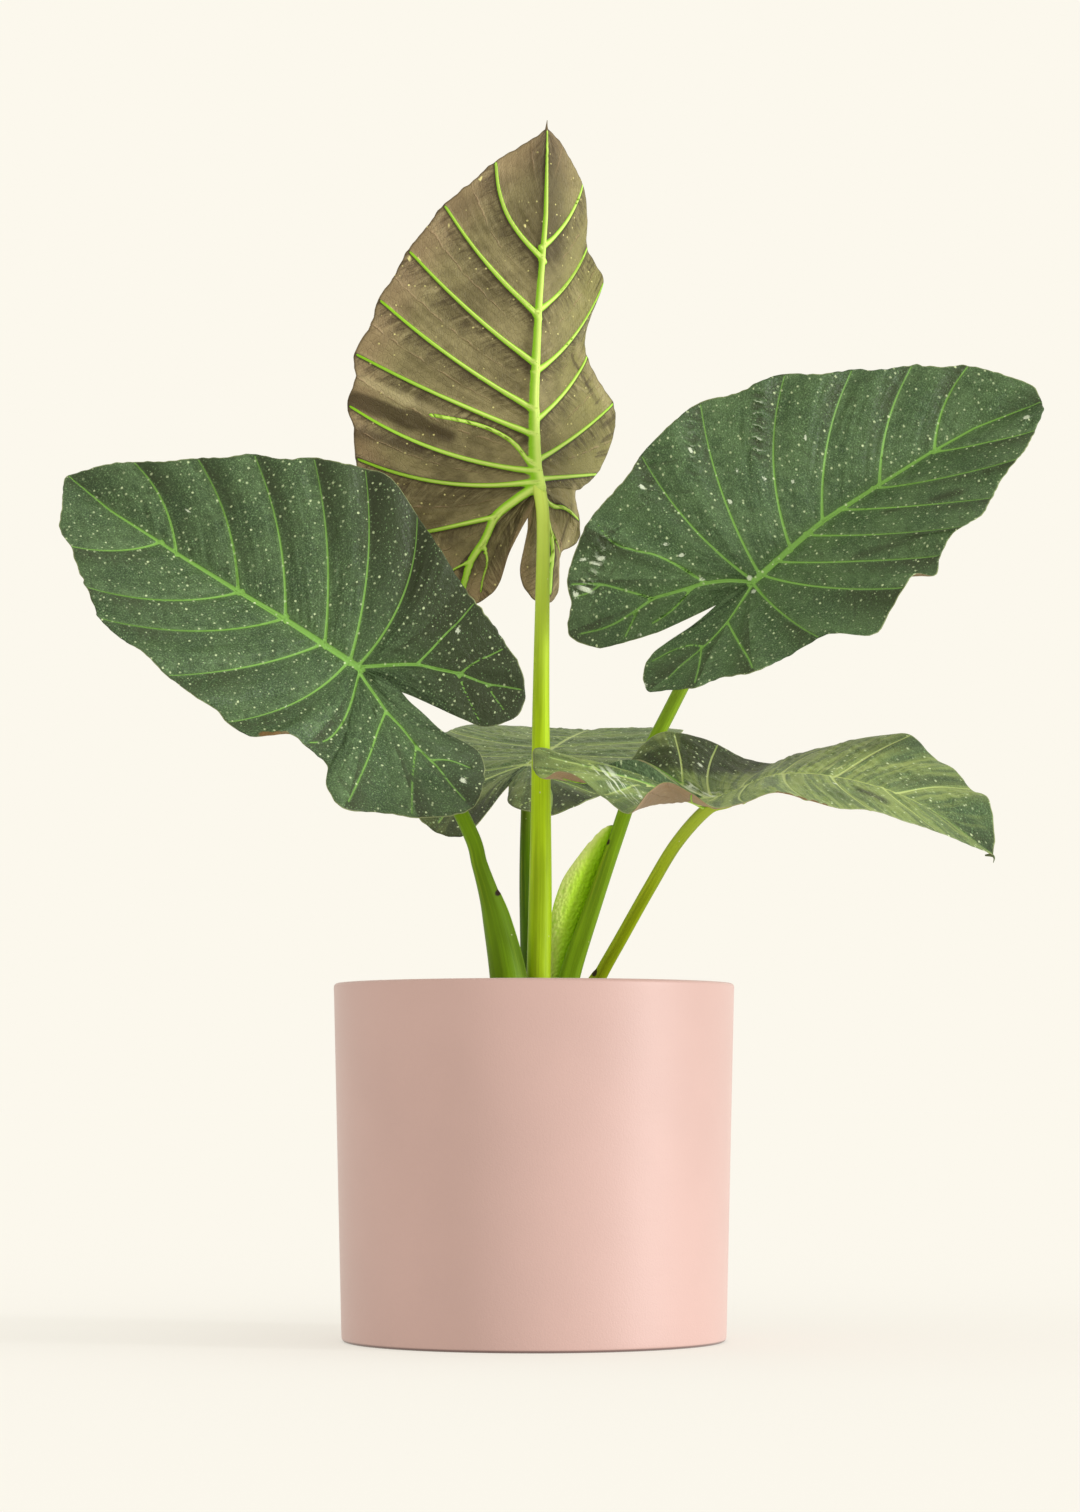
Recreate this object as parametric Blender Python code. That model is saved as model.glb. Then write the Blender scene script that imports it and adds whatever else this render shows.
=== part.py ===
"""Potted regal shields alocasia: five shield-shaped leaves on long stalks that rise from one crown in the
soil of a round matt pot. The dimensions below are in millimetres, with the middle of the pot's foot as
the origin, +X to the right and +Z up. The object is made in metres.
"""

import math

import bpy
import numpy as np

MM = 0.001
GAP = 0.3

POT_RIM_RADIUS = 130.0
POT_FOOT_RADIUS = 124.0
POT_HEIGHT = 230.0
POT_WALL = 7.5
POT_FLOOR = 12.0
RIM_ROUND = 2.5
FOOT_ROUND = 3.0
POT_SIDES = 56

SOIL_TOP = 198.0
CROWN_RADIUS = 44.0
CROWN_FOOT = 166.0
CROWN_TOP = 204.0
SOCKET_FOOT = 186.0
STALK_SIDES = 12

BLADE_THICKNESS = 1.2
RIB_HALF_WIDTH = 5.0
VEIN_HALF_WIDTH = 2.0
VEIN_RIB = 1.4
VEIN_DIP = 0.7
PUFF = 0.9
MIDRIB_DIP = 1.0
BEND_STEP = 45.0
BEND_FROM = -135.0
SPINE_POINTS = 16
BLADE_ROWS = (0.0, 0.1, 0.32, 0.6, 0.84, 1.0)

# Each blade is drawn flat on its own plane: u runs along the midrib from the stalk to the tip, v sideways,
# and every margin point is (u, v, lift), with lift the height of the wavy edge there. Where a side vein
# ends, the point also gives the u where that vein leaves the midrib, below 0 for the veins that fan from
# the stalk into the lobes as degrees turned back, and how far the vein bows; "plain" marks a turn of the
# blade's grain with no vein. bend gives the height of the blade along u, one number each BEND_STEP from
# BEND_FROM.
BLADES = {
    "upright": dict(
        junction=(-0.7, 8.0, 557.0), tip=(8.0, -14.0, 793.0), facing=(-0.47, 0.88, 0.10), fold=28.0,
        rib=6.0, midrib=((0, 0), (60, -3), (120, -2), (180, 1), (237, 0)), sinus=(-20, -3, 0),
        bend=(-6, -3, -1, 0, 0, 0, 0, 0, 0, 0),
        left=((229, -9, 0), (214, -29, 2, 152, 0.11), (199, -44, -2), (184, -58, 2, 115, 0.04),
              (169, -69, -2), (153, -78, 2, 83, 0.03), (135, -88, -3), (120, -95, 1, 53, 0.03),
              (103, -100, -2), (84, -107, 4, 36, 0.02), (68, -108, -3), (50, -110, 4, 11, 0.07),
              (35, -108, -3), (15, -104, 3, 3, 0.08), (-12, -99, -3), (-36, -86, 3, -25, 0.1),
              (-55, -70, -2), (-70, -54, 2, -45, -0.02), (-79, -40, 0), (-77, -30, 2, -60, -0.06),
              (-66, -20, 0), (-45, -14, 0), (-28, -7, 0)),
        right=((228, 16, 0), (205, 36, -3, 160, 0.08), (186, 46, 2), (166, 50, 6, 118, 0.06),
               (154, 57, 0), (143, 61, -5, 78, 0.08), (124, 58, 4), (108, 54, 7), (93, 53, 3, 46, 0.05),
               (75, 63, -5), (63, 75, -8, 19, 0.03), (48, 82, -3), (30, 79, 3), (15, 70, 6, 6, 0),
               (4, 53, 5), (0, 45, 3), (-18, 45, -4, -20, -0.05), (-32, 46, -2), (-41, 32, 3),
               (-52, 28, 0), (-69, 25, -2, -50, -0.1), (-77, 12, 0), (-70, -2, 0), (-56, -7, 0),
               (-40, -5, 0), (-28, -3, 0)),
    ),
    "left": dict(
        junction=(-111.0, -70.0, 429.0), tip=(-295.0, -70.0, 561.0), facing=(0.197, -0.94, 0.279),
        fold=20.0, rib=6.0, midrib=((0, 0), (60, 2), (93, 4), (136, 5), (191, 4), (229, -2)),
        sinus=(-31, -3, 0), bend=(-3, -2, 0, 0, -1, -4, -9, -16, -25, -36),
        left=((212, -19, 2), (199, -30, -2, 141, 0.08), (180, -39, 2), (166, -52, -2, 94, 0.06),
              (151, -59, 2), (137, -72, -2, 59, 0.05), (119, -77, 2), (104, -90, -2, 29, 0.04),
              (87, -94, 3), (73, -102, -2, 9, 0.05), (55, -104, 2), (28, -97, -4, 1, 0.1), (3, -86, 2),
              (-22, -78, -3, -20, 0.08), (-45, -70, 2), (-68, -64, -2, -35, 0.05), (-84, -57, 0),
              (-96, -46, -2, -48, -0.05), (-99, -32, 0), (-88, -17, 0), (-73, -12, 0), (-54, -8, 0),
              (-39, -5, 0)),
        right=((228, 4, 0), (217, 22, 2), (207, 38, -3), (193, 47, 2, 153, 0.08), (180, 57, -3),
               (166, 69, 3, 93, 0.08), (152, 78, -2), (146, 84, 2, 60, 0.08), (128, 86, -3), (110, 88, 2),
               (89, 91, -2, 30, 0.05), (65, 95, 3), (51, 92, -2), (40, 97, 2, 8, 0.08), (23, 98, 6),
               (13, 90, 10), (4, 78, 6), (-7, 76, 0, -5, 0.05), (-24, 77, -3), (-33, 92, 0),
               (-51, 100, 4, -25, 0.06), (-72, 80, -3), (-90, 70, 2, -40, 0.03), (-105, 52, 0),
               (-112, 36, -2, -52, -0.06), (-109, 18, 0), (-97, 0, 0, -72, -0.11, "plain"),
               (-82, -1, 0, -80, -0.1, "plain"), (-67, 2, 0), (-50, 0, 0), (-39, -1, 0)),
    ),
    "right": dict(
        junction=(140.0, -60.0, 485.0), tip=(327.0, -60.0, 602.0), facing=(-0.222, -0.906, 0.36),
        fold=25.0, rib=6.0, midrib=((0, 0), (33, 7), (60, 12), (101, 14), (142, 16), (178, 16), (224, 9)),
        sinus=(-27, 0, 0), bend=(-3, -2, 0, 0, -1, -3, -6, -10, -15, -21),
        right=((225, 20, 0), (214, 32, 2), (197, 51, -2, 148, 0.08), (180, 57, 2),
               (166, 68, -2, 106, 0.06), (145, 73, 2), (131, 83, -2, 62, 0.06), (111, 87, 3),
               (92, 100, -2, 34, 0.08), (75, 101, 3), (58, 103, 0), (35, 110, -3, 7, 0.05), (11, 104, 3),
               (-16, 100, -3, -5, 0.06), (-32, 91, 2), (-57, 86, -2), (-72, 79, 3, -22, 0.05),
               (-89, 70, -2), (-100, 59, 2, -35, 0), (-106, 47, 0), (-117, 35, -2, -50, -0.03),
               (-113, 24, 0), (-104, 16, 0, -72, -0.06, "plain"), (-88, 11, 0), (-70, 6, 0), (-52, 3, 0),
               (-37, 1, 0)),
        left=((219, -1, 2), (207, -11, -3, 148, 0.04), (189, -30, 3), (181, -36, 6, 104, 0.03),
              (167, -39, -3), (153, -49, -5, 78, 0.02), (140, -60, -3), (123, -68, 7, 50, 0.02),
              (115, -66, 3), (102, -72, -5, 24, 0.03), (91, -86, -5), (80, -82, 5),
              (68, -90, 8, 10, 0.04), (53, -93, -5), (37, -102, -6), (18, -90, 6), (8, -83, 5, -2, 0.03),
              (-14, -76, -3), (-37, -76, 3, -25, 0.04), (-55, -60, -2), (-72, -57, 2, -42, 0.03),
              (-86, -43, 0), (-96, -32, -2, -55, -0.07), (-91, -16, 0), (-81, -6, 0, -78, -0.08, "plain"),
              (-67, -4, 0), (-50, -4, 0), (-36, -2, 0)),
    ),
    "low_right": dict(
        junction=(108.0, -110.0, 343.5), tip=(280.4, -149.8, 343.5), facing=(0.07, -0.30, 0.95), fold=0.0,
        rib=4.0, midrib=((0, 0), (60, 0), (120, 0), (177, 0)), sinus=(-24, 0, 5),
        bend=(28, 24, 16, 0, 14, 10, -7, -42, -84, -120),
        left=((175, -10, 2), (165, -22, 1), (148, -36, -1, 112, 0.08), (130, -48, -3),
              (112, -60, -1, 80, 0.06), (94, -70, -3), (76, -78, 1, 50, 0.05), (58, -84, 5),
              (40, -88, 2, 26, 0.05), (22, -90, 6), (8, -91, 21, 6, 0.06), (-6, -92, 28),
              (-18, -92, 18, -15, 0.05), (-32, -89, -2), (-48, -84, 2, -30, 0.05), (-64, -78, 10),
              (-78, -70, 10, -45, 0.0), (-90, -60, 2), (-99, -46, 4, -60, -0.06), (-101, -32, 13),
              (-93, -22, 12), (-80, -16, 3), (-66, -12, 2), (-52, -8, 8), (-38, -4, 10)),
        right=((177, 14, 12), (172, 32, 24), (160, 47, 17, 120, 0.08), (148, 60, 18), (135, 68, 15),
               (120, 74, 22, 82, 0.06), (105, 78, 16), (90, 80, 10), (70, 82, 2, 48, 0.05), (50, 83, -4),
               (30, 83, -5, 22, 0.05), (12, 83, 5), (-6, 81, 17, 2, 0.06), (-22, 77, 18),
               (-38, 70, 15, -25, 0.05), (-50, 60, 6), (-57, 46, -4, -52, -0.05), (-54, 30, 0),
               (-42, 14, 6)),
    ),
    "back": dict(
        junction=(-4.0, 100.0, 382.0), tip=(63.7, 286.1, 435.1), facing=(-0.088, -0.243, 0.966), fold=0.0,
        rib=4.0, midrib=((0, 0), (70, 0), (140, 0), (205, 0)), sinus=(-36, 2, 0),
        bend=(-60, -33, -11, 0, 2, 3, 0, -12, -32, -60),
        left=((196, -20, 0), (180, -40, 0, 135, 0.08), (160, -54, -2), (135, -68, -2, 92, 0.06),
              (110, -75, -3), (85, -78, -4, 55, 0.05), (60, -79, -6), (35, -79, -6, 26, 0.05), (10, -76, -7),
              (-12, -71, -8, 2, 0.06), (-30, -62, -10), (-44, -55, -8, -28, 0.04), (-54, -46, -7),
              (-62, -33, -6, -52, -0.03), (-64, -16, 0), (-58, -5, 1), (-46, -1, 0)),
        right=((196, 20, 0), (180, 40, 2, 135, 0.08), (160, 58, 4), (135, 75, 6, 92, 0.06),
               (110, 84, 8), (85, 89, 8, 55, 0.05), (60, 91, 6), (35, 90, 2, 26, 0.05), (10, 86, 0),
               (-15, 80, -2, 0, 0.06), (-40, 73, 2), (-62, 64, 5, -25, 0.05), (-80, 52, 8),
               (-88, 36, 3, -50, -0.05), (-88, 20, 0), (-79, 12, 0), (-64, 7, 0), (-47, 4, 0)),
    ),
}

# Each stalk is a row of (x, y, z, radius) from its foot in the crown to its end under the blade.
STALKS = {
    "upright": ((3, -2, 187, 7.8), (3, -2, 206, 7.8), (3, -4, 234, 7.8), (4, -3, 282, 7.6),
                (4.5, -3, 339, 6.6), (4.5, -4, 409, 5.6), (5.5, -7, 482, 4.7), (6, -9, 521, 4.3),
                (5.5, -8, 540, 4.3)),
    "left": ((-16, -13, 187, 11.5), (-16, -13, 206, 11.5), (-17, -14, 234, 11.4), (-24, -18, 269, 8.8),
             (-29, -22, 287, 6.6), (-35, -28, 306, 5.2), (-41, -35, 326, 5.0), (-66, -50, 374, 4.8),
             (-85, -54, 398, 4.6), (-98, -50, 412, 4.5)),
    "right": ((21, 9, 187, 5.2), (21, 9, 206, 5.2), (25, 10, 235, 5.2), (39, 4, 280, 4.8),
              (54, -4, 326, 4.8), (69, -14, 368, 4.7), (87, -22, 404, 4.6), (106, -31, 440, 4.5),
              (124, -38, 468, 4.4)),
    "low_right": ((30, -17, 187, 4.6), (30, -17, 206, 4.6), (42, -30, 233, 4.4), (56.5, -45, 259, 4.2),
                  (73.5, -65, 289, 4.1), (90, -85, 316, 4.0)),
    "back": ((-3, 17, 187, 5.5), (-3, 17, 206, 5.5), (-3, 18, 235, 5.4), (-4, 24, 259, 5.2),
             (-5, 45, 300, 4.8), (-5, 72, 340, 4.2)),
}

# The sheath hugs the right leaf's stalk: (height, reach to the left of the stalk, bulge forward).
SHEATH_ROWS = ((204.4, 8, 3), (235, 11, 5), (255, 16, 6), (272, 21, 7), (287, 23, 7), (300, 23, 7),
               (312, 19, 6), (322, 14, 4), (330, 8, 2.5), (333, 5, 2))
SHEATH_THICKNESS = 1.6
SHEATH_CLEARANCE = 1.0


def unit(v):
    return np.asarray(v, float) / np.linalg.norm(v)


def through(points, t):
    """The smooth curve through rows of points, read at row numbers t; beyond its ends it holds still."""
    p = np.asarray(points, float)
    t = np.clip(np.asarray(t, float), 0, len(p) - 1)
    k = np.minimum(t.astype(int), len(p) - 2)
    x = (t - k)[..., None]
    before, after = p[np.maximum(k - 1, 0)], p[np.minimum(k + 2, len(p) - 1)]
    a, b = p[k], p[k + 1]
    cubic = 2 * before - 5 * a + 4 * b - after + x * (3 * (a - b) + after - before)
    return a + 0.5 * x * (b - before + x * cubic)


class Blade:
    """One leaf blade: its plane, its outline, its rays from midrib to margin and its height."""

    def __init__(self, junction, tip, facing, fold, rib, midrib, sinus, bend, left, right):
        self.origin = np.array(junction)
        self.along = unit(np.array(tip) - self.origin)
        facing = np.array(facing)
        self.up = unit(facing - (facing @ self.along) * self.along)
        self.across = np.cross(self.up, self.along)
        self.slope, self.rib, self.bend = math.tan(math.radians(fold)), rib, np.array(bend, float)
        self.midrib = np.array(midrib, float)
        self.length = self.midrib[-1, 0]
        first = (self.length, self.midrib[-1, 1], 0, 0.93 * self.length, 0)
        last = tuple(sinus) + (-90, 0)
        self.rows = {-1: (first, *left, last), 1: (first, *right, last)}

    def spine(self, u):
        return np.interp(u, self.midrib[:, 0], self.midrib[:, 1])

    def veins(self, side):
        rows = self.rows[side]
        return [k for k, row in enumerate(rows) if len(row) == 5 and 0 < k < len(rows) - 1]

    def ray(self, side, t, s):
        """Points on the flat plane: t numbers the rows of the margin from tip to sinus, s runs from the
        midrib at 0 to the margin at 1 along a parabola that bows toward the tip."""
        rows = self.rows[side]
        margin = through([row[:2] for row in rows], t)
        given = [k for k, row in enumerate(rows) if len(row) > 3]
        root = np.interp(t, given, [rows[k][3] for k in given])
        bow = np.interp(t, given, [rows[k][4] for k in given])[..., None]
        u = np.clip(root, 0, None)
        turn = np.radians(90 - np.clip(root, -90, 0))
        width = RIB_HALF_WIDTH * (1 - u / (0.93 * self.length))
        start = np.stack([u + width * np.cos(turn), self.spine(u) + side * width * np.sin(turn)], -1)
        chord = margin - start
        control = start + 0.5 * chord + 2 * side * bow * np.stack([-chord[..., 1], chord[..., 0]], -1)
        s = np.asarray(s, float)[..., None]
        return (1 - s) ** 2 * start + 2 * s * (1 - s) * control + s * s * margin

    def height(self, side, t, s, flat):
        """Fold up from the midrib, bend along the leaf and lift at the margin, which fades as s ** 1.5."""
        off = flat[..., 1] - self.spine(flat[..., 0])
        folded = self.slope * (np.sqrt(off * off + 16) - 4)
        bent = through(self.bend[:, None], (flat[..., 0] - BEND_FROM) / BEND_STEP)[..., 0]
        lift = through([row[2:3] for row in self.rows[side]], t)[..., 0]
        return folded + bent + lift * s ** 1.5

    def half(self, side):
        """The grid of one side: flat points, height of the upper face and depth of the ribs below it."""
        veins, at, flank = self.veins(side), [], []
        for k in range(len(self.rows[side])):
            steps = (-1, 0, 1) if k in veins else (0,)
            at += [k] * len(steps)
            flank += steps
        s = np.broadcast_to(np.array(BLADE_ROWS), (len(at), len(BLADE_ROWS)))
        t = np.broadcast_to(np.array(at, float)[:, None], s.shape)
        pace = np.linalg.norm(self.ray(side, t + 0.1, s) - self.ray(side, t - 0.1, s), axis=-1) / 0.2
        t = t + np.array(flank)[:, None] * np.minimum(VEIN_HALF_WIDTH / np.maximum(pace, 1e-6), 0.3)
        flat = self.ray(side, t, s)
        on_vein = np.array([k in veins and f == 0 for k, f in zip(at, flank)], float)[:, None]
        between = np.array([0 < k < len(self.rows[side]) - 1 and k not in veins for k in at], float)[:, None]
        inside = np.sin(np.pi * s)
        high = self.height(side, t, s, flat) - VEIN_DIP * on_vein * (1 - s) + PUFF * between * inside
        deep = VEIN_RIB * on_vein * (1 - 0.8 * s)
        fan = np.interp(t[:, 0], self.fan_rows(side), (0, 1))
        deep[:, 0] = self.rib * fan
        return flat, high, deep

    def fan_rows(self, side):
        """The row numbers between which the rays leave the midrib and start to fan from the stalk."""
        rows = self.rows[side]
        given = [k for k, row in enumerate(rows) if len(row) > 3]
        first = [k for k in given if rows[k][3] < 0][0]
        return given[given.index(first) - 1], first

    def solid(self):
        """(points, triangles): upper and lower face with the same triangles, joined round the margin."""
        flat, high, deep, faces = [], [], [], []

        def add(points, heights, depths):
            first = sum(len(part) for part in flat)
            flat.append(points.reshape(-1, 2))
            high.append(heights.reshape(-1))
            deep.append(depths.reshape(-1))
            return first + np.arange(points.shape[0] * points.shape[1] if points.ndim > 2 else len(points))

        u = np.linspace(0.93 * self.length, 0, SPINE_POINTS)
        line = np.stack([u, self.spine(u)], -1)
        taper = 1 - u / (0.93 * self.length)
        bent = through(self.bend[:, None], (u - BEND_FROM) / BEND_STEP)[..., 0]
        spine = add(line, bent - MIDRIB_DIP * np.sqrt(taper), 0.9 + (self.rib - 0.9) * taper ** 0.8)
        for side in (-1, 1):
            points, heights, depths = self.half(side)
            n, m = heights.shape
            index = add(points, heights, depths).reshape(n, m)
            a, b, c, d = index[:-1, :-1], index[1:, :-1], index[1:, 1:], index[:-1, 1:]
            faces.append(np.stack([a, b, c], -1).reshape(-1, 3))
            faces.append(np.stack([a, c, d], -1).reshape(-1, 3))
            i = j = 0
            edge = points[:, 0, 0]
            while i < n - 1 or j < len(u) - 1:
                if j == len(u) - 1 or (i < n - 1 and edge[i + 1] >= u[j + 1]):
                    faces.append(np.array([[spine[j], index[i, 0], index[i + 1, 0]]]))
                    i += 1
                else:
                    faces.append(np.array([[spine[j], index[i, 0], spine[j + 1]]]))
                    j += 1
        flat, high, deep, faces = (np.concatenate(part) for part in (flat, high, deep, faces))
        _, first, same = np.unique(np.floor(flat * 1000 + 0.37).astype(int), axis=0, return_index=True,
                                   return_inverse=True)
        flat, high, deep = flat[first], high[first], deep[first]
        faces = same.reshape(-1)[faces]
        e, f, g = (flat[faces[:, k]] for k in range(3))
        area = (f[:, 0] - e[:, 0]) * (g[:, 1] - e[:, 1]) - (f[:, 1] - e[:, 1]) * (g[:, 0] - e[:, 0])
        faces = np.where(area[:, None] < 0, faces[:, ::-1], faces)[np.abs(area) > 1e-6]
        top = self.place(flat, high)
        bottom = self.place(flat, high - BLADE_THICKNESS - deep)
        return thickened(top, bottom, faces)

    def place(self, flat, height):
        return self.origin + flat[:, :1] * self.along + flat[:, 1:] * self.across + height[:, None] * self.up


def thickened(top, bottom, faces):
    """A closed solid from two faces that share their triangles, with a rim round the open edges."""
    n = len(top)
    ends = np.concatenate([faces[:, [0, 1]], faces[:, [1, 2]], faces[:, [2, 0]]])
    there = {(a, b) for a, b in ends.tolist()}
    rim = np.array([(a, b) for a, b in ends.tolist() if (b, a) not in there])
    a, b = rim[:, 0], rim[:, 1]
    sides = [np.stack([b, a, a + n], -1), np.stack([b, a + n, b + n], -1)]
    return np.concatenate([top, bottom]), np.concatenate([faces, faces[:, ::-1] + n, *sides])


def sheet(top, bottom):
    """A closed solid from two grids of points, upper and lower, of the same shape."""
    n, m = top.shape[:2]
    index = np.arange(n * m).reshape(n, m)
    a, b, c, d = index[:-1, :-1], index[1:, :-1], index[1:, 1:], index[:-1, 1:]
    faces = np.concatenate([np.stack([a, b, c], -1).reshape(-1, 3), np.stack([a, c, d], -1).reshape(-1, 3)])
    return thickened(top.reshape(-1, 3), bottom.reshape(-1, 3), faces)


def revolved(profile, sides):
    """A closed solid from a profile of (radius, height) that starts and ends on the axis."""
    profile = np.array(profile, float)
    turn = np.arange(sides) * 2 * math.pi / sides
    ring = profile[1:-1]
    points = np.stack([ring[:, :1] * np.cos(turn), ring[:, :1] * np.sin(turn),
                       np.repeat(ring[:, 1:], sides, 1)], -1).reshape(-1, 3)
    points = np.concatenate([points, [[0, 0, profile[0, 1]], [0, 0, profile[-1, 1]]]])
    index = np.arange(len(ring) * sides).reshape(len(ring), sides)
    after = np.roll(index, -1, axis=1)
    a, b, c, d = index[:-1], after[:-1], after[1:], index[1:]
    low, high = len(points) - 2, len(points) - 1
    faces = [np.stack([a, b, c], -1).reshape(-1, 3), np.stack([a, c, d], -1).reshape(-1, 3),
             np.stack([after[0], index[0], np.full(sides, low)], -1),
             np.stack([index[-1], after[-1], np.full(sides, high)], -1)]
    return points, np.concatenate(faces)


def corner(centre, radius, start, steps=4):
    """Points of a quarter round, turning anticlockwise from the start angle in degrees."""
    turn = np.radians(start + np.linspace(0, 90, steps))
    return [(centre[0] + radius * math.cos(a), centre[1] + radius * math.sin(a)) for a in turn]


def pot_wall(height, inward=0.0):
    return POT_FOOT_RADIUS + (POT_RIM_RADIUS - POT_FOOT_RADIUS) * height / POT_HEIGHT - inward


def pot():
    foot = corner((pot_wall(0) - FOOT_ROUND, FOOT_ROUND), FOOT_ROUND, -90)
    outer = corner((pot_wall(POT_HEIGHT) - RIM_ROUND, POT_HEIGHT - RIM_ROUND), RIM_ROUND, 0)
    inner = corner((pot_wall(POT_HEIGHT, POT_WALL) + RIM_ROUND, POT_HEIGHT - RIM_ROUND), RIM_ROUND, 90)
    well = [(pot_wall(POT_FLOOR, POT_WALL), POT_FLOOR + 8), (pot_wall(POT_FLOOR, POT_WALL) - 8, POT_FLOOR)]
    return revolved([(0, 0), *foot, *outer, *inner, *well, (0, POT_FLOOR)], POT_SIDES)


def soil():
    low = POT_FLOOR + GAP
    wall = [(pot_wall(POT_FLOOR, POT_WALL) - 8 - GAP, low), (pot_wall(POT_FLOOR, POT_WALL) - GAP, low + 8),
            (pot_wall(SOIL_TOP, POT_WALL) - 1, SOIL_TOP - 3), (pot_wall(SOIL_TOP, POT_WALL) - 6, SOIL_TOP)]
    hole = CROWN_RADIUS + GAP
    recess = [(hole + 24, SOIL_TOP + 2), (hole, SOIL_TOP + 1), (hole, CROWN_FOOT - GAP)]
    return revolved([(0, low), *wall, *recess, (0, CROWN_FOOT - GAP)], 40)


def crown_profile():
    r = CROWN_RADIUS
    return [(0, CROWN_FOOT), (r - 6, CROWN_FOOT), (r, CROWN_FOOT + 6), (r, SOIL_TOP), (r - 2, SOIL_TOP + 3),
            (r - 7, CROWN_TOP), (0, CROWN_TOP)]


def stalk(name):
    """A tapered tube; its last ring lies parallel to the blade, a gap below its midrib."""
    blade = Blade(**BLADES[name])
    end = blade.origin - blade.up * (BLADE_THICKNESS + blade.rib + MIDRIB_DIP + GAP)
    rows = np.array([*STALKS[name], (*end, STALKS[name][-1][3])], float)
    t = np.linspace(0, len(rows) - 1, 2 * (len(rows) - 1) + 1)
    path = through(rows, t)
    path[path[:, 2] < CROWN_TOP + 3, :2] = rows[0, :2]
    way = np.gradient(path[:, :3], axis=0)
    way /= np.linalg.norm(way, axis=1, keepdims=True)
    way[path[:, 2] < CROWN_TOP + 3] = (0, 0, 1)
    side = np.cross(way, (0.0, 1.0, 0.0))
    side /= np.linalg.norm(side, axis=1, keepdims=True)
    front = np.cross(way, side)
    turn = np.arange(STALK_SIDES) * 2 * math.pi / STALK_SIDES
    ring = side[:, None] * np.cos(turn)[:, None] + front[:, None] * np.sin(turn)[:, None]
    points = path[:, None, :3] + path[:, None, 3:] * ring
    slide = ((path[-1, :3] - points[-1]) @ blade.up) / (way[-1] @ blade.up)
    points[-1] += slide[:, None] * way[-1]
    n = len(points)
    index = np.arange(n * STALK_SIDES).reshape(n, STALK_SIDES)
    after = np.roll(index, -1, axis=1)
    a, b, c, d = index[:-1], after[:-1], after[1:], index[1:]
    fan = np.arange(1, STALK_SIDES - 1)
    foot = np.stack([np.zeros_like(fan), fan + 1, fan], -1)
    head = index[-1, 0] + np.stack([np.zeros_like(fan), fan, fan + 1], -1)
    faces = np.concatenate([np.stack([a, b, c], -1).reshape(-1, 3), np.stack([a, c, d], -1).reshape(-1, 3),
                            foot, head])
    return points.reshape(-1, 3), faces


def sheath():
    """A thin green wing that hugs the back of the right leaf's stalk, opens to the left and ends in a
    point."""
    rows = np.array(SHEATH_ROWS, float)
    level = through(rows, np.linspace(0, len(rows) - 1, 2 * len(rows) - 1))
    line = through(STALKS["right"], np.linspace(0, len(STALKS["right"]) - 1, 60))
    line[line[:, 2] < CROWN_TOP + 3, :2] = line[0, :2]
    x, y, radius = (np.interp(level[:, 0], line[:, 2], line[:, k]) for k in (0, 1, 3))
    hug = radius + SHEATH_CLEARANCE
    turn = np.radians(np.linspace(-40, 10, 4))
    wrap = np.stack([x[:, None] - hug[:, None] * np.sin(turn), y[:, None] + hug[:, None] * np.cos(turn)], -1)
    share = np.linspace(0.15, 1, 6)
    wing_x = wrap[:, -1:, 0] - (level[:, 1:2] + hug[:, None] * 0.6) * share
    wing_y = wrap[:, -1:, 1] - level[:, 2:3] * np.sin(share * 2.2)
    section = np.concatenate([wrap, np.stack([wing_x, wing_y], -1)], 1)
    way = np.gradient(section, axis=1)
    way /= np.linalg.norm(way, axis=-1, keepdims=True)
    grids = []
    for out in (0.0, SHEATH_THICKNESS):
        flat = section + out * np.stack([way[..., 1], -way[..., 0]], -1)
        grids.append(np.concatenate([flat, np.broadcast_to(level[:, :1, None], (*flat.shape[:2], 1))], -1))
    return sheet(*grids)


def make(name, solid, colour, roughness=0.5):
    points, faces = solid
    mesh = bpy.data.meshes.new(name)
    mesh.from_pydata((points * MM).tolist(), [], faces.tolist())
    obj = bpy.data.objects.new(name, mesh)
    bpy.context.scene.collection.objects.link(obj)
    material = bpy.data.materials.new(name)
    material.use_nodes = True
    shader = material.node_tree.nodes["Principled BSDF"]
    shader.inputs["Base Color"].default_value = (*colour, 1)
    shader.inputs["Roughness"].default_value = roughness
    mesh.materials.append(material)
    return obj


def crown():
    body = make("stem_base", revolved(crown_profile(), 32), (0.16, 0.11, 0.06), 0.8)
    for name, rows in STALKS.items():
        x, y, _, radius = rows[0]
        hole = radius + 2 * GAP
        points, faces = revolved([(0, SOCKET_FOOT), (hole, SOCKET_FOOT), (hole, CROWN_TOP + 9),
                                  (0, CROWN_TOP + 9)], STALK_SIDES * 2)
        cutter = make("socket_" + name, (points + np.array([x, y, 0.0]), faces), (0, 0, 0))
        cutter.hide_render = True
        cut = body.modifiers.new("socket_" + name, "BOOLEAN")
        cut.operation = "DIFFERENCE"
        cut.solver = "EXACT"
        cut.object = cutter
    return body


def main():
    for obj in list(bpy.data.objects):
        bpy.data.objects.remove(obj, do_unlink=True)
    make("pot", pot(), (0.62, 0.42, 0.36), 0.7)
    make("soil", soil(), (0.04, 0.025, 0.015), 0.95)
    crown()
    make("sheath", sheath(), (0.19, 0.42, 0.01), 0.45)
    for name, rows in BLADES.items():
        make("petiole_" + name, stalk(name), (0.27, 0.44, 0.03), 0.45)
        colour = (0.16, 0.12, 0.07) if name == "upright" else (0.04, 0.10, 0.045)
        make("blade_" + name, Blade(**rows).solid(), colour, 0.45)


main()
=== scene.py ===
"""Potted regal shields alocasia: five shield-shaped leaves on long stalks that rise from one crown in the
soil of a round matt pot. Shapes are worked out in millimetres, with the middle of the pot's foot as the
origin, +X to the right and +Z up, and are put into the meshes in metres.
"""

import math

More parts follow.
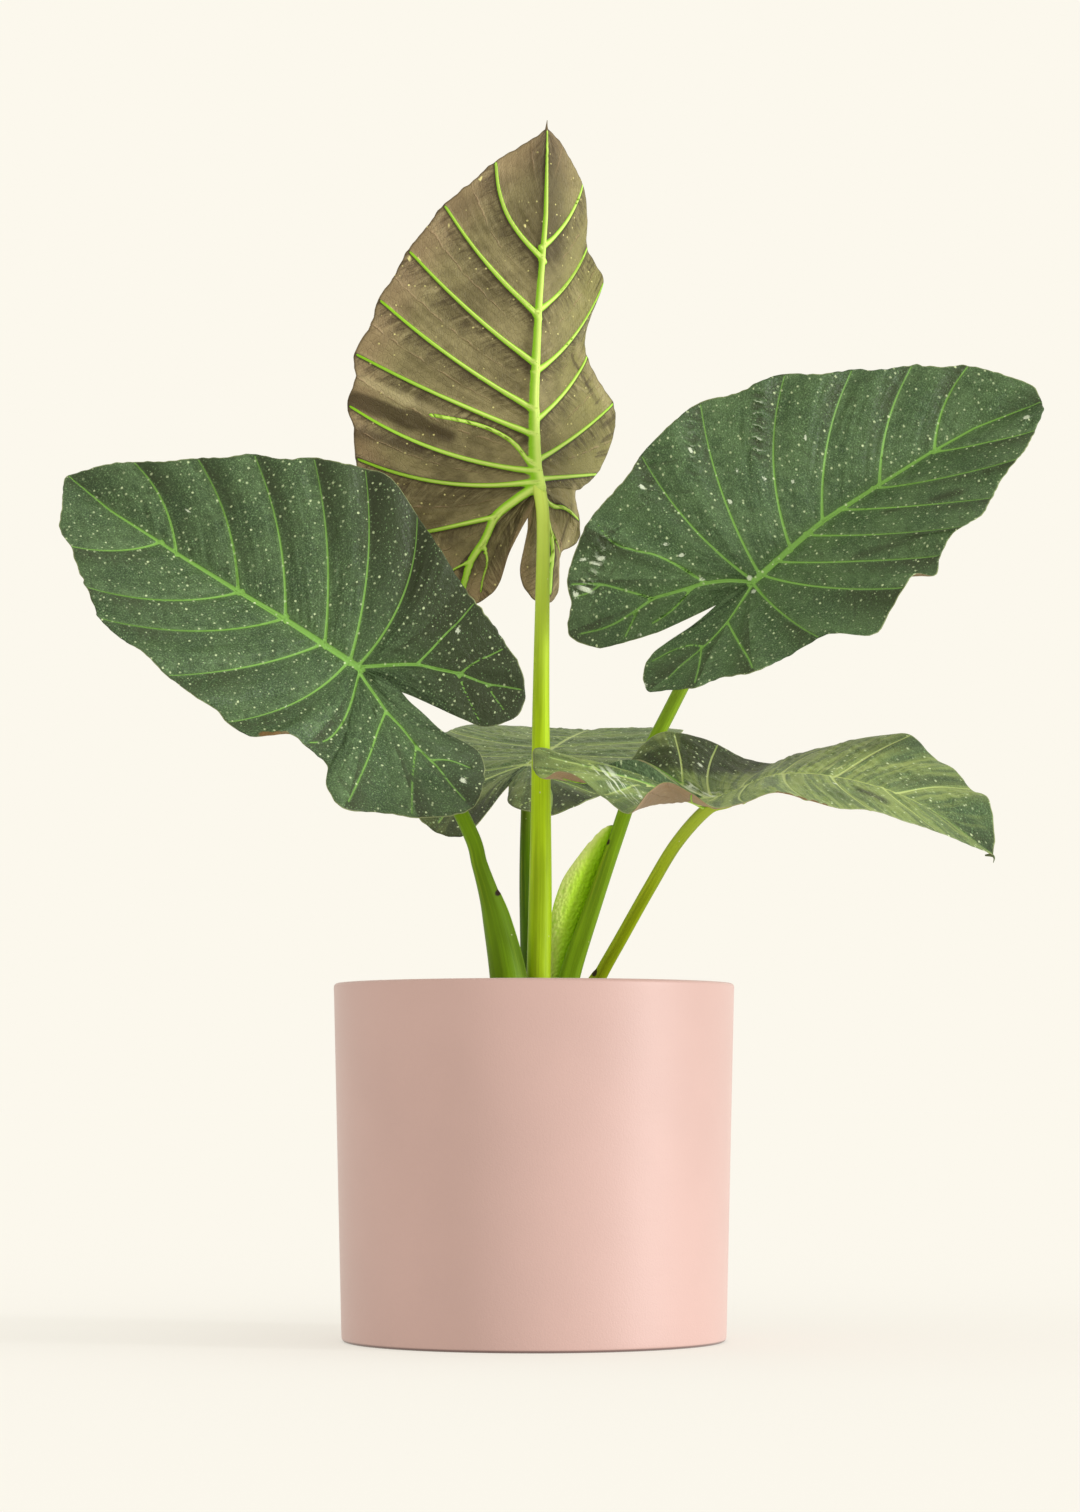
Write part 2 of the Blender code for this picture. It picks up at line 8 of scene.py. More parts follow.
import bpy
import numpy as np
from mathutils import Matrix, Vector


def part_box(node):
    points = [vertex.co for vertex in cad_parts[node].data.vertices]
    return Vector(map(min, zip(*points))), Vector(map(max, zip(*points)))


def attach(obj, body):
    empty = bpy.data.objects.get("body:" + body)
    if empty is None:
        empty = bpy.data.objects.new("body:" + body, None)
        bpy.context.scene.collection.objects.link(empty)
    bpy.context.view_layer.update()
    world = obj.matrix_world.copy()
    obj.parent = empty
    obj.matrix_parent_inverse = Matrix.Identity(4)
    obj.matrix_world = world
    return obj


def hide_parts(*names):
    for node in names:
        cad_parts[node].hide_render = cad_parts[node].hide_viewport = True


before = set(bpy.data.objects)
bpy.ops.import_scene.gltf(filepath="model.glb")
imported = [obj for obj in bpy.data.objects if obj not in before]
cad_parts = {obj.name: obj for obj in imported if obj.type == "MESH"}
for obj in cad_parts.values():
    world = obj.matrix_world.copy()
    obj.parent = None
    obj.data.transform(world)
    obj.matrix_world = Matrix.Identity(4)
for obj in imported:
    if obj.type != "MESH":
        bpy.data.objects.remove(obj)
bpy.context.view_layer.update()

bl_info = {
    "name": "Potted regal shields alocasia",
    "version": (1, 0, 0),
    "blender": (4, 5, 0),
    "location": "3D View > Sidebar > Alocasia",
    "description": "Builds the pot, soil, crown, stalks, sheath and veined leaf blades of a potted alocasia",
    "category": "Add Mesh",
}

MM = 0.001

# The crown: the height near which the stalks leave it, its radius, and how deep it and the soil reach below
# the soil's level. Crumbs lie further from the middle than CRUMBS_FROM.
CROWN_TOP, CROWN_RADIUS, CROWN_DEPTH, SOIL_DEPTH, CRUMBS_FROM = 204.0, 46.0, 12, 14, 44

# The blades: where their bend is given along u, the half-width of the strip over the midrib where rays
# start, where the last ray leaves the midrib as a share of its length, the step between rays along the
# outline, the points of a ray, and the point of each ray at which the way across the rays is measured.
BEND_FROM, BEND_STEP = -135.0, 45.0
RIB_HALF_WIDTH, LAST_ROOT = 5.0, 0.93
RAY_STEP, RAY_POINTS, TRACK = 2.3, 46, 36

# The camera: its place in metres, its turn up from straight down, and its focal length for a 36 mm sensor.
CAMERA_PLACE, CAMERA_TURN, CAMERA_LENS = (0.0039, -2.51, 0.159), math.radians(95), 91.8
FLOOR_REACH = 30


# Each blade is drawn flat on its own plane: u runs along the midrib from the stalk to the tip, v sideways,
# and every margin point is (u, v, lift), with lift the height of the wavy edge there. Where a side vein
# ends, the point also gives the u where that vein leaves the midrib, below 0 for the veins that fan from
# the stalk into the lobes as degrees turned back, and how far the vein bows; "plain" marks a turn of the
# blade's grain with no vein. bend gives the height of the blade along u, one number each BEND_STEP from
# BEND_FROM.
BLADES = {
    "upright": dict(
        junction=(-0.7, 8.0, 557.0), tip=(8.0, -14.0, 793.0), facing=(-0.47, 0.88, 0.10), fold=28.0,
        rib=6.0, midrib=((0, 0), (60, -3), (120, -2), (180, 1), (237, 0)), sinus=(-20, -3, 0),
        bend=(-6, -3, -1, 0, 0, 0, 0, 0, 0, 0),
        left=((229, -9, 0), (214, -29, 2, 152, 0.11), (199, -44, -2), (184, -58, 2, 115, 0.04),
              (169, -69, -2), (153, -78, 2, 83, 0.03), (135, -88, -3), (120, -95, 1, 53, 0.03),
              (103, -100, -2), (84, -107, 4, 36, 0.02), (68, -108, -3), (50, -110, 4, 11, 0.07),
              (35, -108, -3), (15, -104, 3, 3, 0.08), (-12, -99, -3), (-36, -86, 3, -25, 0.1),
              (-55, -70, -2), (-70, -54, 2, -45, -0.02), (-79, -40, 0), (-77, -30, 2, -60, -0.06),
              (-66, -20, 0), (-45, -14, 0), (-28, -7, 0)),
        right=((228, 16, 0), (205, 36, -3, 160, 0.08), (186, 46, 2), (166, 50, 6, 118, 0.06),
               (154, 57, 0), (143, 61, -5, 78, 0.08), (124, 58, 4), (108, 54, 7), (93, 53, 3, 46, 0.05),
               (75, 63, -5), (63, 75, -8, 19, 0.03), (48, 82, -3), (30, 79, 3), (15, 70, 6, 6, 0),
               (4, 53, 5), (0, 45, 3), (-18, 45, -4, -20, -0.05), (-32, 46, -2), (-41, 32, 3),
               (-52, 28, 0), (-69, 25, -2, -50, -0.1), (-77, 12, 0), (-70, -2, 0), (-56, -7, 0),
               (-40, -5, 0), (-28, -3, 0)),
    ),
    "left": dict(
        junction=(-111.0, -70.0, 429.0), tip=(-295.0, -70.0, 561.0), facing=(0.197, -0.94, 0.279),
        fold=20.0, rib=6.0, midrib=((0, 0), (60, 2), (93, 4), (136, 5), (191, 4), (229, -2)),
        sinus=(-31, -3, 0), bend=(-3, -2, 0, 0, -1, -4, -9, -16, -25, -36),
        left=((212, -19, 2), (199, -30, -2, 141, 0.08), (180, -39, 2), (166, -52, -2, 94, 0.06),
              (151, -59, 2), (137, -72, -2, 59, 0.05), (119, -77, 2), (104, -90, -2, 29, 0.04),
              (87, -94, 3), (73, -102, -2, 9, 0.05), (55, -104, 2), (28, -97, -4, 1, 0.1), (3, -86, 2),
              (-22, -78, -3, -20, 0.08), (-45, -70, 2), (-68, -64, -2, -35, 0.05), (-84, -57, 0),
              (-96, -46, -2, -48, -0.05), (-99, -32, 0), (-88, -17, 0), (-73, -12, 0), (-54, -8, 0),
              (-39, -5, 0)),
        right=((228, 4, 0), (217, 22, 2), (207, 38, -3), (193, 47, 2, 153, 0.08), (180, 57, -3),
               (166, 69, 3, 93, 0.08), (152, 78, -2), (146, 84, 2, 60, 0.08), (128, 86, -3), (110, 88, 2),
               (89, 91, -2, 30, 0.05), (65, 95, 3), (51, 92, -2), (40, 97, 2, 8, 0.08), (23, 98, 6),
               (13, 90, 10), (4, 78, 6), (-7, 76, 0, -5, 0.05), (-24, 77, -3), (-33, 92, 0),
               (-51, 100, 4, -25, 0.06), (-72, 80, -3), (-90, 70, 2, -40, 0.03), (-105, 52, 0),
               (-112, 36, -2, -52, -0.06), (-109, 18, 0), (-97, 0, 0, -72, -0.11, "plain"),
               (-82, -1, 0, -80, -0.1, "plain"), (-67, 2, 0), (-50, 0, 0), (-39, -1, 0)),
    ),
    "right": dict(
        junction=(140.0, -60.0, 485.0), tip=(327.0, -60.0, 602.0), facing=(-0.222, -0.906, 0.36),
        fold=25.0, rib=6.0, midrib=((0, 0), (33, 7), (60, 12), (101, 14), (142, 16), (178, 16), (224, 9)),
        sinus=(-27, 0, 0), bend=(-3, -2, 0, 0, -1, -3, -6, -10, -15, -21),
        right=((225, 20, 0), (214, 32, 2), (197, 51, -2, 148, 0.08), (180, 57, 2),
               (166, 68, -2, 106, 0.06), (145, 73, 2), (131, 83, -2, 62, 0.06), (111, 87, 3),
               (92, 100, -2, 34, 0.08), (75, 101, 3), (58, 103, 0), (35, 110, -3, 7, 0.05), (11, 104, 3),
               (-16, 100, -3, -5, 0.06), (-32, 91, 2), (-57, 86, -2), (-72, 79, 3, -22, 0.05),
               (-89, 70, -2), (-100, 59, 2, -35, 0), (-106, 47, 0), (-117, 35, -2, -50, -0.03),
               (-113, 24, 0), (-104, 16, 0, -72, -0.06, "plain"), (-88, 11, 0), (-70, 6, 0), (-52, 3, 0),
               (-37, 1, 0)),
        left=((219, -1, 2), (207, -11, -3, 148, 0.04), (189, -30, 3), (181, -36, 6, 104, 0.03),
              (167, -39, -3), (153, -49, -5, 78, 0.02), (140, -60, -3), (123, -68, 7, 50, 0.02),
              (115, -66, 3), (102, -72, -5, 24, 0.03), (91, -86, -5), (80, -82, 5),
              (68, -90, 8, 10, 0.04), (53, -93, -5), (37, -102, -6), (18, -90, 6), (8, -83, 5, -2, 0.03),
              (-14, -76, -3), (-37, -76, 3, -25, 0.04), (-55, -60, -2), (-72, -57, 2, -42, 0.03),
              (-86, -43, 0), (-96, -32, -2, -55, -0.07), (-91, -16, 0), (-81, -6, 0, -78, -0.08, "plain"),
              (-67, -4, 0), (-50, -4, 0), (-36, -2, 0)),
    ),
    "low_right": dict(
        junction=(108.0, -110.0, 343.5), tip=(280.4, -149.8, 343.5), facing=(0.07, -0.30, 0.95), fold=0.0,
        rib=4.0, midrib=((0, 0), (60, 0), (120, 0), (177, 0)), sinus=(-24, 0, 5),
        bend=(28, 24, 16, 0, 14, 10, -7, -42, -84, -120),
        left=((175, -10, 2), (165, -22, 1), (148, -36, -1, 112, 0.08), (130, -48, -3),
              (112, -60, -1, 80, 0.06), (94, -70, -3), (76, -78, 1, 50, 0.05), (58, -84, 5),
              (40, -88, 2, 26, 0.05), (22, -90, 6), (8, -91, 21, 6, 0.06), (-6, -92, 28),
              (-18, -92, 18, -15, 0.05), (-32, -89, -2), (-48, -84, 2, -30, 0.05), (-64, -78, 10),
              (-78, -70, 10, -45, 0.0), (-90, -60, 2), (-99, -46, 4, -60, -0.06), (-101, -32, 13),
              (-93, -22, 12), (-80, -16, 3), (-66, -12, 2), (-52, -8, 8), (-38, -4, 10)),
        right=((177, 14, 12), (172, 32, 24), (160, 47, 17, 120, 0.08), (148, 60, 18), (135, 68, 15),
               (120, 74, 22, 82, 0.06), (105, 78, 16), (90, 80, 10), (70, 82, 2, 48, 0.05), (50, 83, -4),
               (30, 83, -5, 22, 0.05), (12, 83, 5), (-6, 81, 17, 2, 0.06), (-22, 77, 18),
               (-38, 70, 15, -25, 0.05), (-50, 60, 6), (-57, 46, -4, -52, -0.05), (-54, 30, 0),
               (-42, 14, 6)),
    ),
    "back": dict(
        junction=(-4.0, 100.0, 382.0), tip=(63.7, 286.1, 435.1), facing=(-0.088, -0.243, 0.966), fold=0.0,
        rib=4.0, midrib=((0, 0), (70, 0), (140, 0), (205, 0)), sinus=(-36, 2, 0),
        bend=(-60, -33, -11, 0, 2, 3, 0, -12, -32, -60),
        left=((196, -20, 0), (180, -40, 0, 135, 0.08), (160, -54, -2), (135, -68, -2, 92, 0.06),
              (110, -75, -3), (85, -78, -4, 55, 0.05), (60, -79, -6), (35, -79, -6, 26, 0.05), (10, -76, -7),
              (-12, -71, -8, 2, 0.06), (-30, -62, -10), (-44, -55, -8, -28, 0.04), (-54, -46, -7),
              (-62, -33, -6, -52, -0.03), (-64, -16, 0), (-58, -5, 1), (-46, -1, 0)),
        right=((196, 20, 0), (180, 40, 2, 135, 0.08), (160, 58, 4), (135, 75, 6, 92, 0.06),
               (110, 84, 8), (85, 89, 8, 55, 0.05), (60, 91, 6), (35, 90, 2, 26, 0.05), (10, 86, 0),
               (-15, 80, -2, 0, 0.06), (-40, 73, 2), (-62, 64, 5, -25, 0.05), (-80, 52, 8),
               (-88, 36, 3, -50, -0.05), (-88, 20, 0), (-79, 12, 0), (-64, 7, 0), (-47, 4, 0)),
    ),
}

# Each stalk is a row of (x, y, z, radius) from its foot in the crown to its end under the blade.
STALKS = {
    "upright": ((3, -2, 187, 7.8), (3, -2, 206, 7.8), (3, -4, 234, 7.8), (4, -3, 282, 7.6),
                (4.5, -3, 339, 6.6), (4.5, -4, 409, 5.6), (5.5, -7, 482, 4.7), (6, -9, 521, 4.3),
                (5.5, -8, 540, 4.3)),
    "left": ((-16, -13, 187, 11.5), (-16, -13, 206, 11.5), (-17, -14, 234, 11.4), (-24, -18, 269, 8.8),
             (-29, -22, 287, 6.6), (-35, -28, 306, 5.2), (-41, -35, 326, 5.0), (-66, -50, 374, 4.8),
             (-85, -54, 398, 4.6), (-98, -50, 412, 4.5)),
    "right": ((21, 9, 187, 5.2), (21, 9, 206, 5.2), (25, 10, 235, 5.2), (39, 4, 280, 4.8),
              (54, -4, 326, 4.8), (69, -14, 368, 4.7), (87, -22, 404, 4.6), (106, -31, 440, 4.5),
              (124, -38, 468, 4.4)),
    "low_right": ((30, -17, 187, 4.6), (30, -17, 206, 4.6), (42, -30, 233, 4.4), (56.5, -45, 259, 4.2),
                  (73.5, -65, 289, 4.1), (90, -85, 316, 4.0)),
    "back": ((-3, 17, 187, 5.5), (-3, 17, 206, 5.5), (-3, 18, 235, 5.4), (-4, 24, 259, 5.2),
             (-5, 45, 300, 4.8), (-5, 72, 340, 4.2)),
}

# The sheath hugs the right leaf's stalk: (height, reach to the left of the stalk, bulge forward).
SHEATH_ROWS = ((204.4, 8, 3), (235, 11, 5), (255, 16, 6), (272, 21, 7), (287, 23, 7), (300, 23, 7),
               (312, 19, 6), (322, 14, 4), (330, 8, 2.5), (333, 5, 2))

# Veins inside the lobes, and the thin extra ones: (half-width at the start, half-width at the end, then the
# (u, v) points of the line).
LOBE_VEINS = {
    "upright": (
        (2.5, 1.0, (0, -2), (-9, -12), (-20, -23), (-36, -29), (-49, -36), (-64, -40), (-74, -42)),
        (1.4, 0.5, (-20, -22), (-26, -42), (-31, -59), (-36, -78)),
        (1.0, 0.4, (-49, -35), (-56, -46), (-63, -55)),
        (0.9, 0.4, (-39, -29), (-51, -27), (-61, -29), (-70, -30)),
        (1.25, 0.8, (14, -3), (24, -10), (31, -17), (38, -30), (42, -45), (45, -64)),
        (1.5, 0.6, (0, 4), (-8, 12), (-11, 20), (-11, 27), (-13, 34), (-18, 43)),
        (2.0, 0.9, (0, 3), (-14, 10), (-26, 15), (-40, 19), (-55, 18), (-69, 17)),
        (1.0, 0.4, (-24, 14), (-33, 22), (-41, 28)), (0.9, 0.4, (-44, 19), (-56, 8), (-66, 4)),
    ),
    "left": (
        (2.0, 0.7, (0, -1), (-14, -12), (-28, -22), (-40, -27), (-54, -33), (-71, -38), (-81, -43),
         (-92, -48)),
        (1.1, 0.4, (-28, -22), (-30, -32), (-32, -47), (-34, -58), (-35, -72)),
        (0.9, 0.4, (-54, -33), (-58, -45), (-62, -52), (-67, -61)),
        (0.8, 0.3, (-54, -32), (-64, -26), (-72, -22), (-82, -17)),
        (0.8, 0.3, (-71, -38), (-79, -35), (-91, -31)),
        (2.0, 0.7, (0, 1), (-7, 5), (-21, 11), (-33, 16), (-46, 19), (-61, 24), (-79, 27), (-91, 31),
         (-106, 35)),
        (1.1, 0.4, (-31, 16), (-35, 32), (-41, 52), (-47, 78), (-50, 93)),
        (1.0, 0.4, (-60, 24), (-71, 47), (-86, 72)), (0.8, 0.3, (-72, 26), (-82, 17), (-95, 12)),
        (1.3, 0.5, (-2, 3), (-11, 28), (-15, 47), (-14, 62), (-7, 72)),
    ),
    "right": (
        (2.0, 0.7, (0, 1), (-12, 9), (-26, 15), (-37, 18), (-48, 21), (-59, 24), (-73, 24), (-87, 24),
         (-98, 26), (-112, 31)),
        (1.2, 0.4, (-26, 16), (-34, 31), (-43, 44), (-51, 51), (-59, 59), (-63, 66), (-64, 78)),
        (1.0, 0.4, (-59, 24), (-72, 37), (-84, 48), (-99, 56)), (0.7, 0.3, (-82, 47), (-92, 47), (-103, 50)),
        (0.8, 0.3, (-34, 17), (-44, 14), (-55, 12), (-68, 12)), (0.8, 0.3, (-70, 24), (-79, 19), (-88, 14)),
        (1.9, 0.7, (0, -1), (-4, -3), (-15, -10), (-29, -19), (-44, -25), (-54, -27), (-69, -29),
         (-80, -32)),
        (1.1, 0.4, (-29, -20), (-32, -44), (-34, -62), (-36, -72)),
        (0.9, 0.3, (-50, -26), (-57, -18), (-68, -13), (-83, -11)),
        (0.9, 0.3, (-53, -28), (-61, -41), (-70, -53)),
    ),
    "low_right": (
        (1.9, 0.7, (0, -2), (-15, -10), (-32, -18), (-52, -26), (-72, -30), (-91, -33)),
        (1.1, 0.4, (-32, -18), (-38, -45), (-48, -79)), (0.9, 0.4, (-52, -26), (-66, -45), (-80, -65)),
        (0.8, 0.3, (-62, -28), (-75, -22), (-88, -21)),
        (1.8, 0.7, (0, 2), (-12, 12), (-26, 26), (-40, 38), (-50, 46)),
        (1.0, 0.4, (-18, 18), (-24, 45), (-32, 70)), (0.8, 0.3, (-30, 30), (-40, 24), (-50, 24)),
    ),
    "back": (
        (1.8, 0.7, (0, -2), (-14, -12), (-28, -22), (-42, -30), (-57, -34)),
        (1.0, 0.4, (-20, -17), (-26, -40), (-32, -58)), (0.8, 0.3, (-40, -29), (-50, -20), (-60, -14)),
        (1.8, 0.7, (0, 2), (-16, 14), (-34, 24), (-54, 32), (-80, 38)),
        (1.1, 0.4, (-24, 19), (-34, 45), (-44, 68)), (0.9, 0.4, (-44, 29), (-58, 45), (-70, 57)),
        (0.8, 0.3, (-52, 31), (-66, 22), (-80, 17)),
    ),
}

# Small pale scars on the blades, and on the right blade mostly painted glints: (u, v, radius).
SCARS_AND_GLINTS = {
    "left": ((-37, -52, 1.0), (18, 60, 0.8), (-97, 24, 1.2), (150, -20, 0.8)),
    "right": ((208, 1, 1.7), (-100, 50, 1.1), (-75, 65, 1.1), (-84, 66, 1.0), (-74, 60, 1.0), (-34, 47, 1.0),
              (12, 85, 1.1), (0, 4, 1.3), (-3, -7, 1.4), (-29, 36, 1.0), (-27, 81, 1.0), (-26, 18, 1.0),
              (16, 49, 0.9), (43, 51, 0.9), (31, 63, 0.9), (80, 59, 0.9), (58, 41, 0.9), (-95, -26, 1.2),
              (-78, 10, 0.9)),
    "upright": ((202, -38, 1.0), (171, -56, 0.9), (148, -78, 1.1), (146, -72, 0.8), (113, -88, 1.1),
                (109, -84, 0.9), (188, -14, 0.8), (172, -11, 0.9)),
    "low_right": ((-32, -51, 1.3), (-22, 18, 1.4), (-13, 17, 1.4), (-12, 48, 1.4), (60, 20, 1.0),
                  (84, -18, 1.2)),
    "back": (),
}

# Glossy spots with painted highlight streaks, and dried brown ones: (u, v, radius).
SHINE = {"low_right": ((-54, -36, 11), (-44, -54, 11), (-34, -60, 8), (-26, -62, 7), (-14, 14, 6),
                       (0, 6, 6)),
         "left": ((-103, 30, 1.4),), "right": ((-92, 50, 3.6), (-78, 60, 3))}
BURNS = {"left": ((17, 91.5, 2.6), (14, 89.5, 3.2), (10, 86.5, 3.2), (6, 81, 2.2)),
         "low_right": ((60, -84, 2.2), (66, -82, 2.6), (73, -79, 2.8), (80, -76, 2.4), (86, -74, 1.6))}

# Dark valleys of painted shade, and pale ridges of painted light where the strength is below 0: (u, v at one
# end, u, v at the other, half-width, strength).
PAINTED_FOLDS = {
    "upright": ((65, -103, 53, -78, 5, -0.8), (53, -78, 42, -52, 5, -0.7), (53, -106, 43, -75, 6.5, 1.1),
                (43, -75, 32, -52, 5.5, 0.9), (32, -106, 22, -68, 5, 0.7), (98, 45, 56, 72, 6, -0.6),
                (92, 37, 62, 60, 1.8, 0.8), (150, 34, 128, 42, 4, -0.4), (4, 45, -36, 36, 3.5, -0.8),
                (-8, 38, -36, 30, 1.5, 0.7), (-30, -60, -85, -62, 12, 0.2), (160, 8, 215, 4, 20, 0.6),
                (200, -30, 180, -50, 9, 0.4)),
    "left": ((64, -104, 40, -60, 9, 0.5), (20, -90, 0, -60, 12, 0.6)),
    "right": ((95, -12, 140, -30, 4, 0.8), (60, -33, 100, -52, 4, 0.6), (70, -14, 120, -20, 4, -0.5)),
    "low_right": ((-20, 72, 16, 84, 16, 1.0), (-46, 42, -18, 46, 12, 0.9), (-18, 46, 2, 58, 10, 0.8),
                  (20, 60, 50, 70, 10, 0.6), (102, -24, 114, -30, 6, 0.9), (-47, -7, -26, -3, 6, -0.7),
                  (-6, 6, 40, -5, 6, -0.7), (40, -5, 88, 19, 6, -0.8), (88, 19, 131, 53, 6, -0.6),
                  (100, 50, 130, 75, 8, 0.5)),
    "back": ((-44, -38, -43, -60, 12, 0.9), (-76, 20, -58, 4, 12, 0.9)),
}

# Rows of small puckers, raised by the bump, with painted shadow in their troughs and painted glints on their
# crests: (u, v at one end, u, v at the other, half-width, strength).
PUCKERS = {"right": ((47, 64, 68, 94, 4.5, 1.0), (5, 73, 24, 103, 4.5, 0.7), (-91, 50, -60, 69, 6.0, 0.8),
                     (-30, 74, -10, 96, 5.0, 0.55))}

# For each blade: how thick its side ribs are and how thick its midrib is, how much painted top light its
# upper side carries where it faces up, how light its greens are, and how much painted shade darkens it
# across its plane, as a share that is a * u + b * v + c. Two blades have a thin point at the tip, as (u, v,
# height) past the midrib's end.
RIB_GIRTH = {"upright": 1.6, "left": 0.85, "right": 0.85, "low_right": 0.95, "back": 1.1}
MIDRIB_GIRTH = {"upright": 1.12, "left": 0.66, "right": 0.66, "low_right": 0.6, "back": 0.6}
TOP_LIGHT_PAINT = {"upright": 0.0, "left": 0.0, "right": 0.0, "low_right": 0.8, "back": 0.45}
TONE = {"upright": 0.95, "left": 0.84, "right": 1.12, "low_right": 0.9, "back": 0.85}
SHADE = {"upright": (0.0, 0.0, 0.0), "left": (-0.008, -0.013, 0.0), "right": (-0.006, 0.003, -0.32),
         "low_right": (-0.008, 0.004, -0.1), "back": (-0.02, 0.0, -0.1)}
DRIP_TIPS = {"upright": ((2.0, 0, 0), (5.5, 0.5, 0.5)), "low_right": ((0.8, -1.5, -1.5), (0.3, -3.5, -4.0))}

# Thin flanges on the stalks, where a clasping sheath's edge runs down them: (which way it points, in degrees
# from +X toward +Y, height where it starts, height where it ends, how far it stands out, its half-width in
# degrees, how fast it narrows with height).
FLANGES = {
    "upright": ((-35, 204, 262, 0.7, 12, 1.0),),
    "left": ((-12, 204, 288.5, 1.3, 22, 0.1), (172, 204, 300, 0.5, 14, 1.0)),
    "right": ((-148, 204, 322, 6.0, 26, 0.8), (-70, 204, 300, 0.5, 12, 1.0)),
    "low_right": ((150, 204, 250, 0.8, 16, 1.0), (168, 204, 237, 5.0, 26, 0.7)),
    "back": ((-100, 204, 262, 0.8, 16, 1.0),),
}

# Dark dry tips where the sheaths of two stalks end: (which way the tip faces, in degrees from +X toward +Y,
# its height, its half-width in degrees, its half-height).
DRY_TIPS = {"left": (-30, 287.0, 30, 2.2), "low_right": (-165, 235.0, 36, 2.8)}


def unit(v):
    return np.asarray(v, float) / np.linalg.norm(v)


def through(points, t):
    """The smooth curve through rows of points, read at row numbers t; beyond its ends it holds still."""
    p = np.asarray(points, float)
    t = np.clip(np.asarray(t, float), 0, len(p) - 1)
    k = np.minimum(t.astype(int), len(p) - 2)
    x = (t - k)[..., None]
    before, after = p[np.maximum(k - 1, 0)], p[np.minimum(k + 2, len(p) - 1)]
    a, b = p[k], p[k + 1]
    cubic = 2 * before - 5 * a + 4 * b - after + x * (3 * (a - b) + after - before)
    return a + 0.5 * x * (b - before + x * cubic)


def smooth(x, low, high):
    """0 below low, 1 above high, and 3x^2 - 2x^3 between; low may lie above high."""
    x = np.clip((np.asarray(x, float) - low) / (high - low), 0, 1)
    return x * x * (3 - 2 * x)


def swell(x, y, size, seed):
    """Rolling noise of about -1 to 1: the mean of nine sine waves of random heading, with crests about
    size apart."""
    draw = np.random.default_rng(seed)
    heading, phase = draw.uniform(0, 2 * math.pi, 9), draw.uniform(0, 2 * math.pi, 9)
    pace = 2 * math.pi / size * draw.uniform(0.7, 1.5, 9)
    waves = [np.sin(p * (x * math.cos(h) + y * math.sin(h)) + q) for h, q, p in zip(heading, phase, pace)]
    return sum(waves) / 4.5


def spots(flat, rows):
    """The most of 1 - distance / (1.6 * radius) over all rows of (u, v, radius), but never below 0."""
    most = np.zeros(len(flat))
    for u, v, r in rows:
        most = np.maximum(most, 1 - np.hypot(flat[:, 0] - u, flat[:, 1] - v) / r / 1.6)
    return most


def nearest(flat, ends):
    """How far each point lies from the straight line between two ends, and how far along it, in mm."""
    start, way = np.array(ends[:2], float), np.array([ends[2] - ends[0], ends[3] - ends[1]], float)
    share = ((flat - start) @ way) / (way @ way)
    spot = start + np.clip(share, 0, 1)[:, None] * way
    return np.hypot(*(flat - spot).T), share * np.hypot(*way)


def folded(flat, rows):
    """The sum of strength * exp(-(distance / half-width) ** 2) over all the painted folds."""
    total = np.zeros(len(flat))
    for *ends, half, strength in rows:
        total += strength * np.exp(-(nearest(flat, ends)[0] / half) ** 2)
    return np.clip(total, -1, 1)


def puckered(flat, rows):
    """(how far along the closest row of puckers, in mm, how much of the row is felt, 0)."""
    felt = np.zeros((len(flat), 3))
    for *ends, half, strength in rows:
        far, along = nearest(flat, ends)
        share = strength * np.exp(-(far / half) ** 2)
        felt[:, 0] = np.where(share > felt[:, 1], along, felt[:, 0])
        felt[:, 1] = np.maximum(felt[:, 1], share)
    return felt


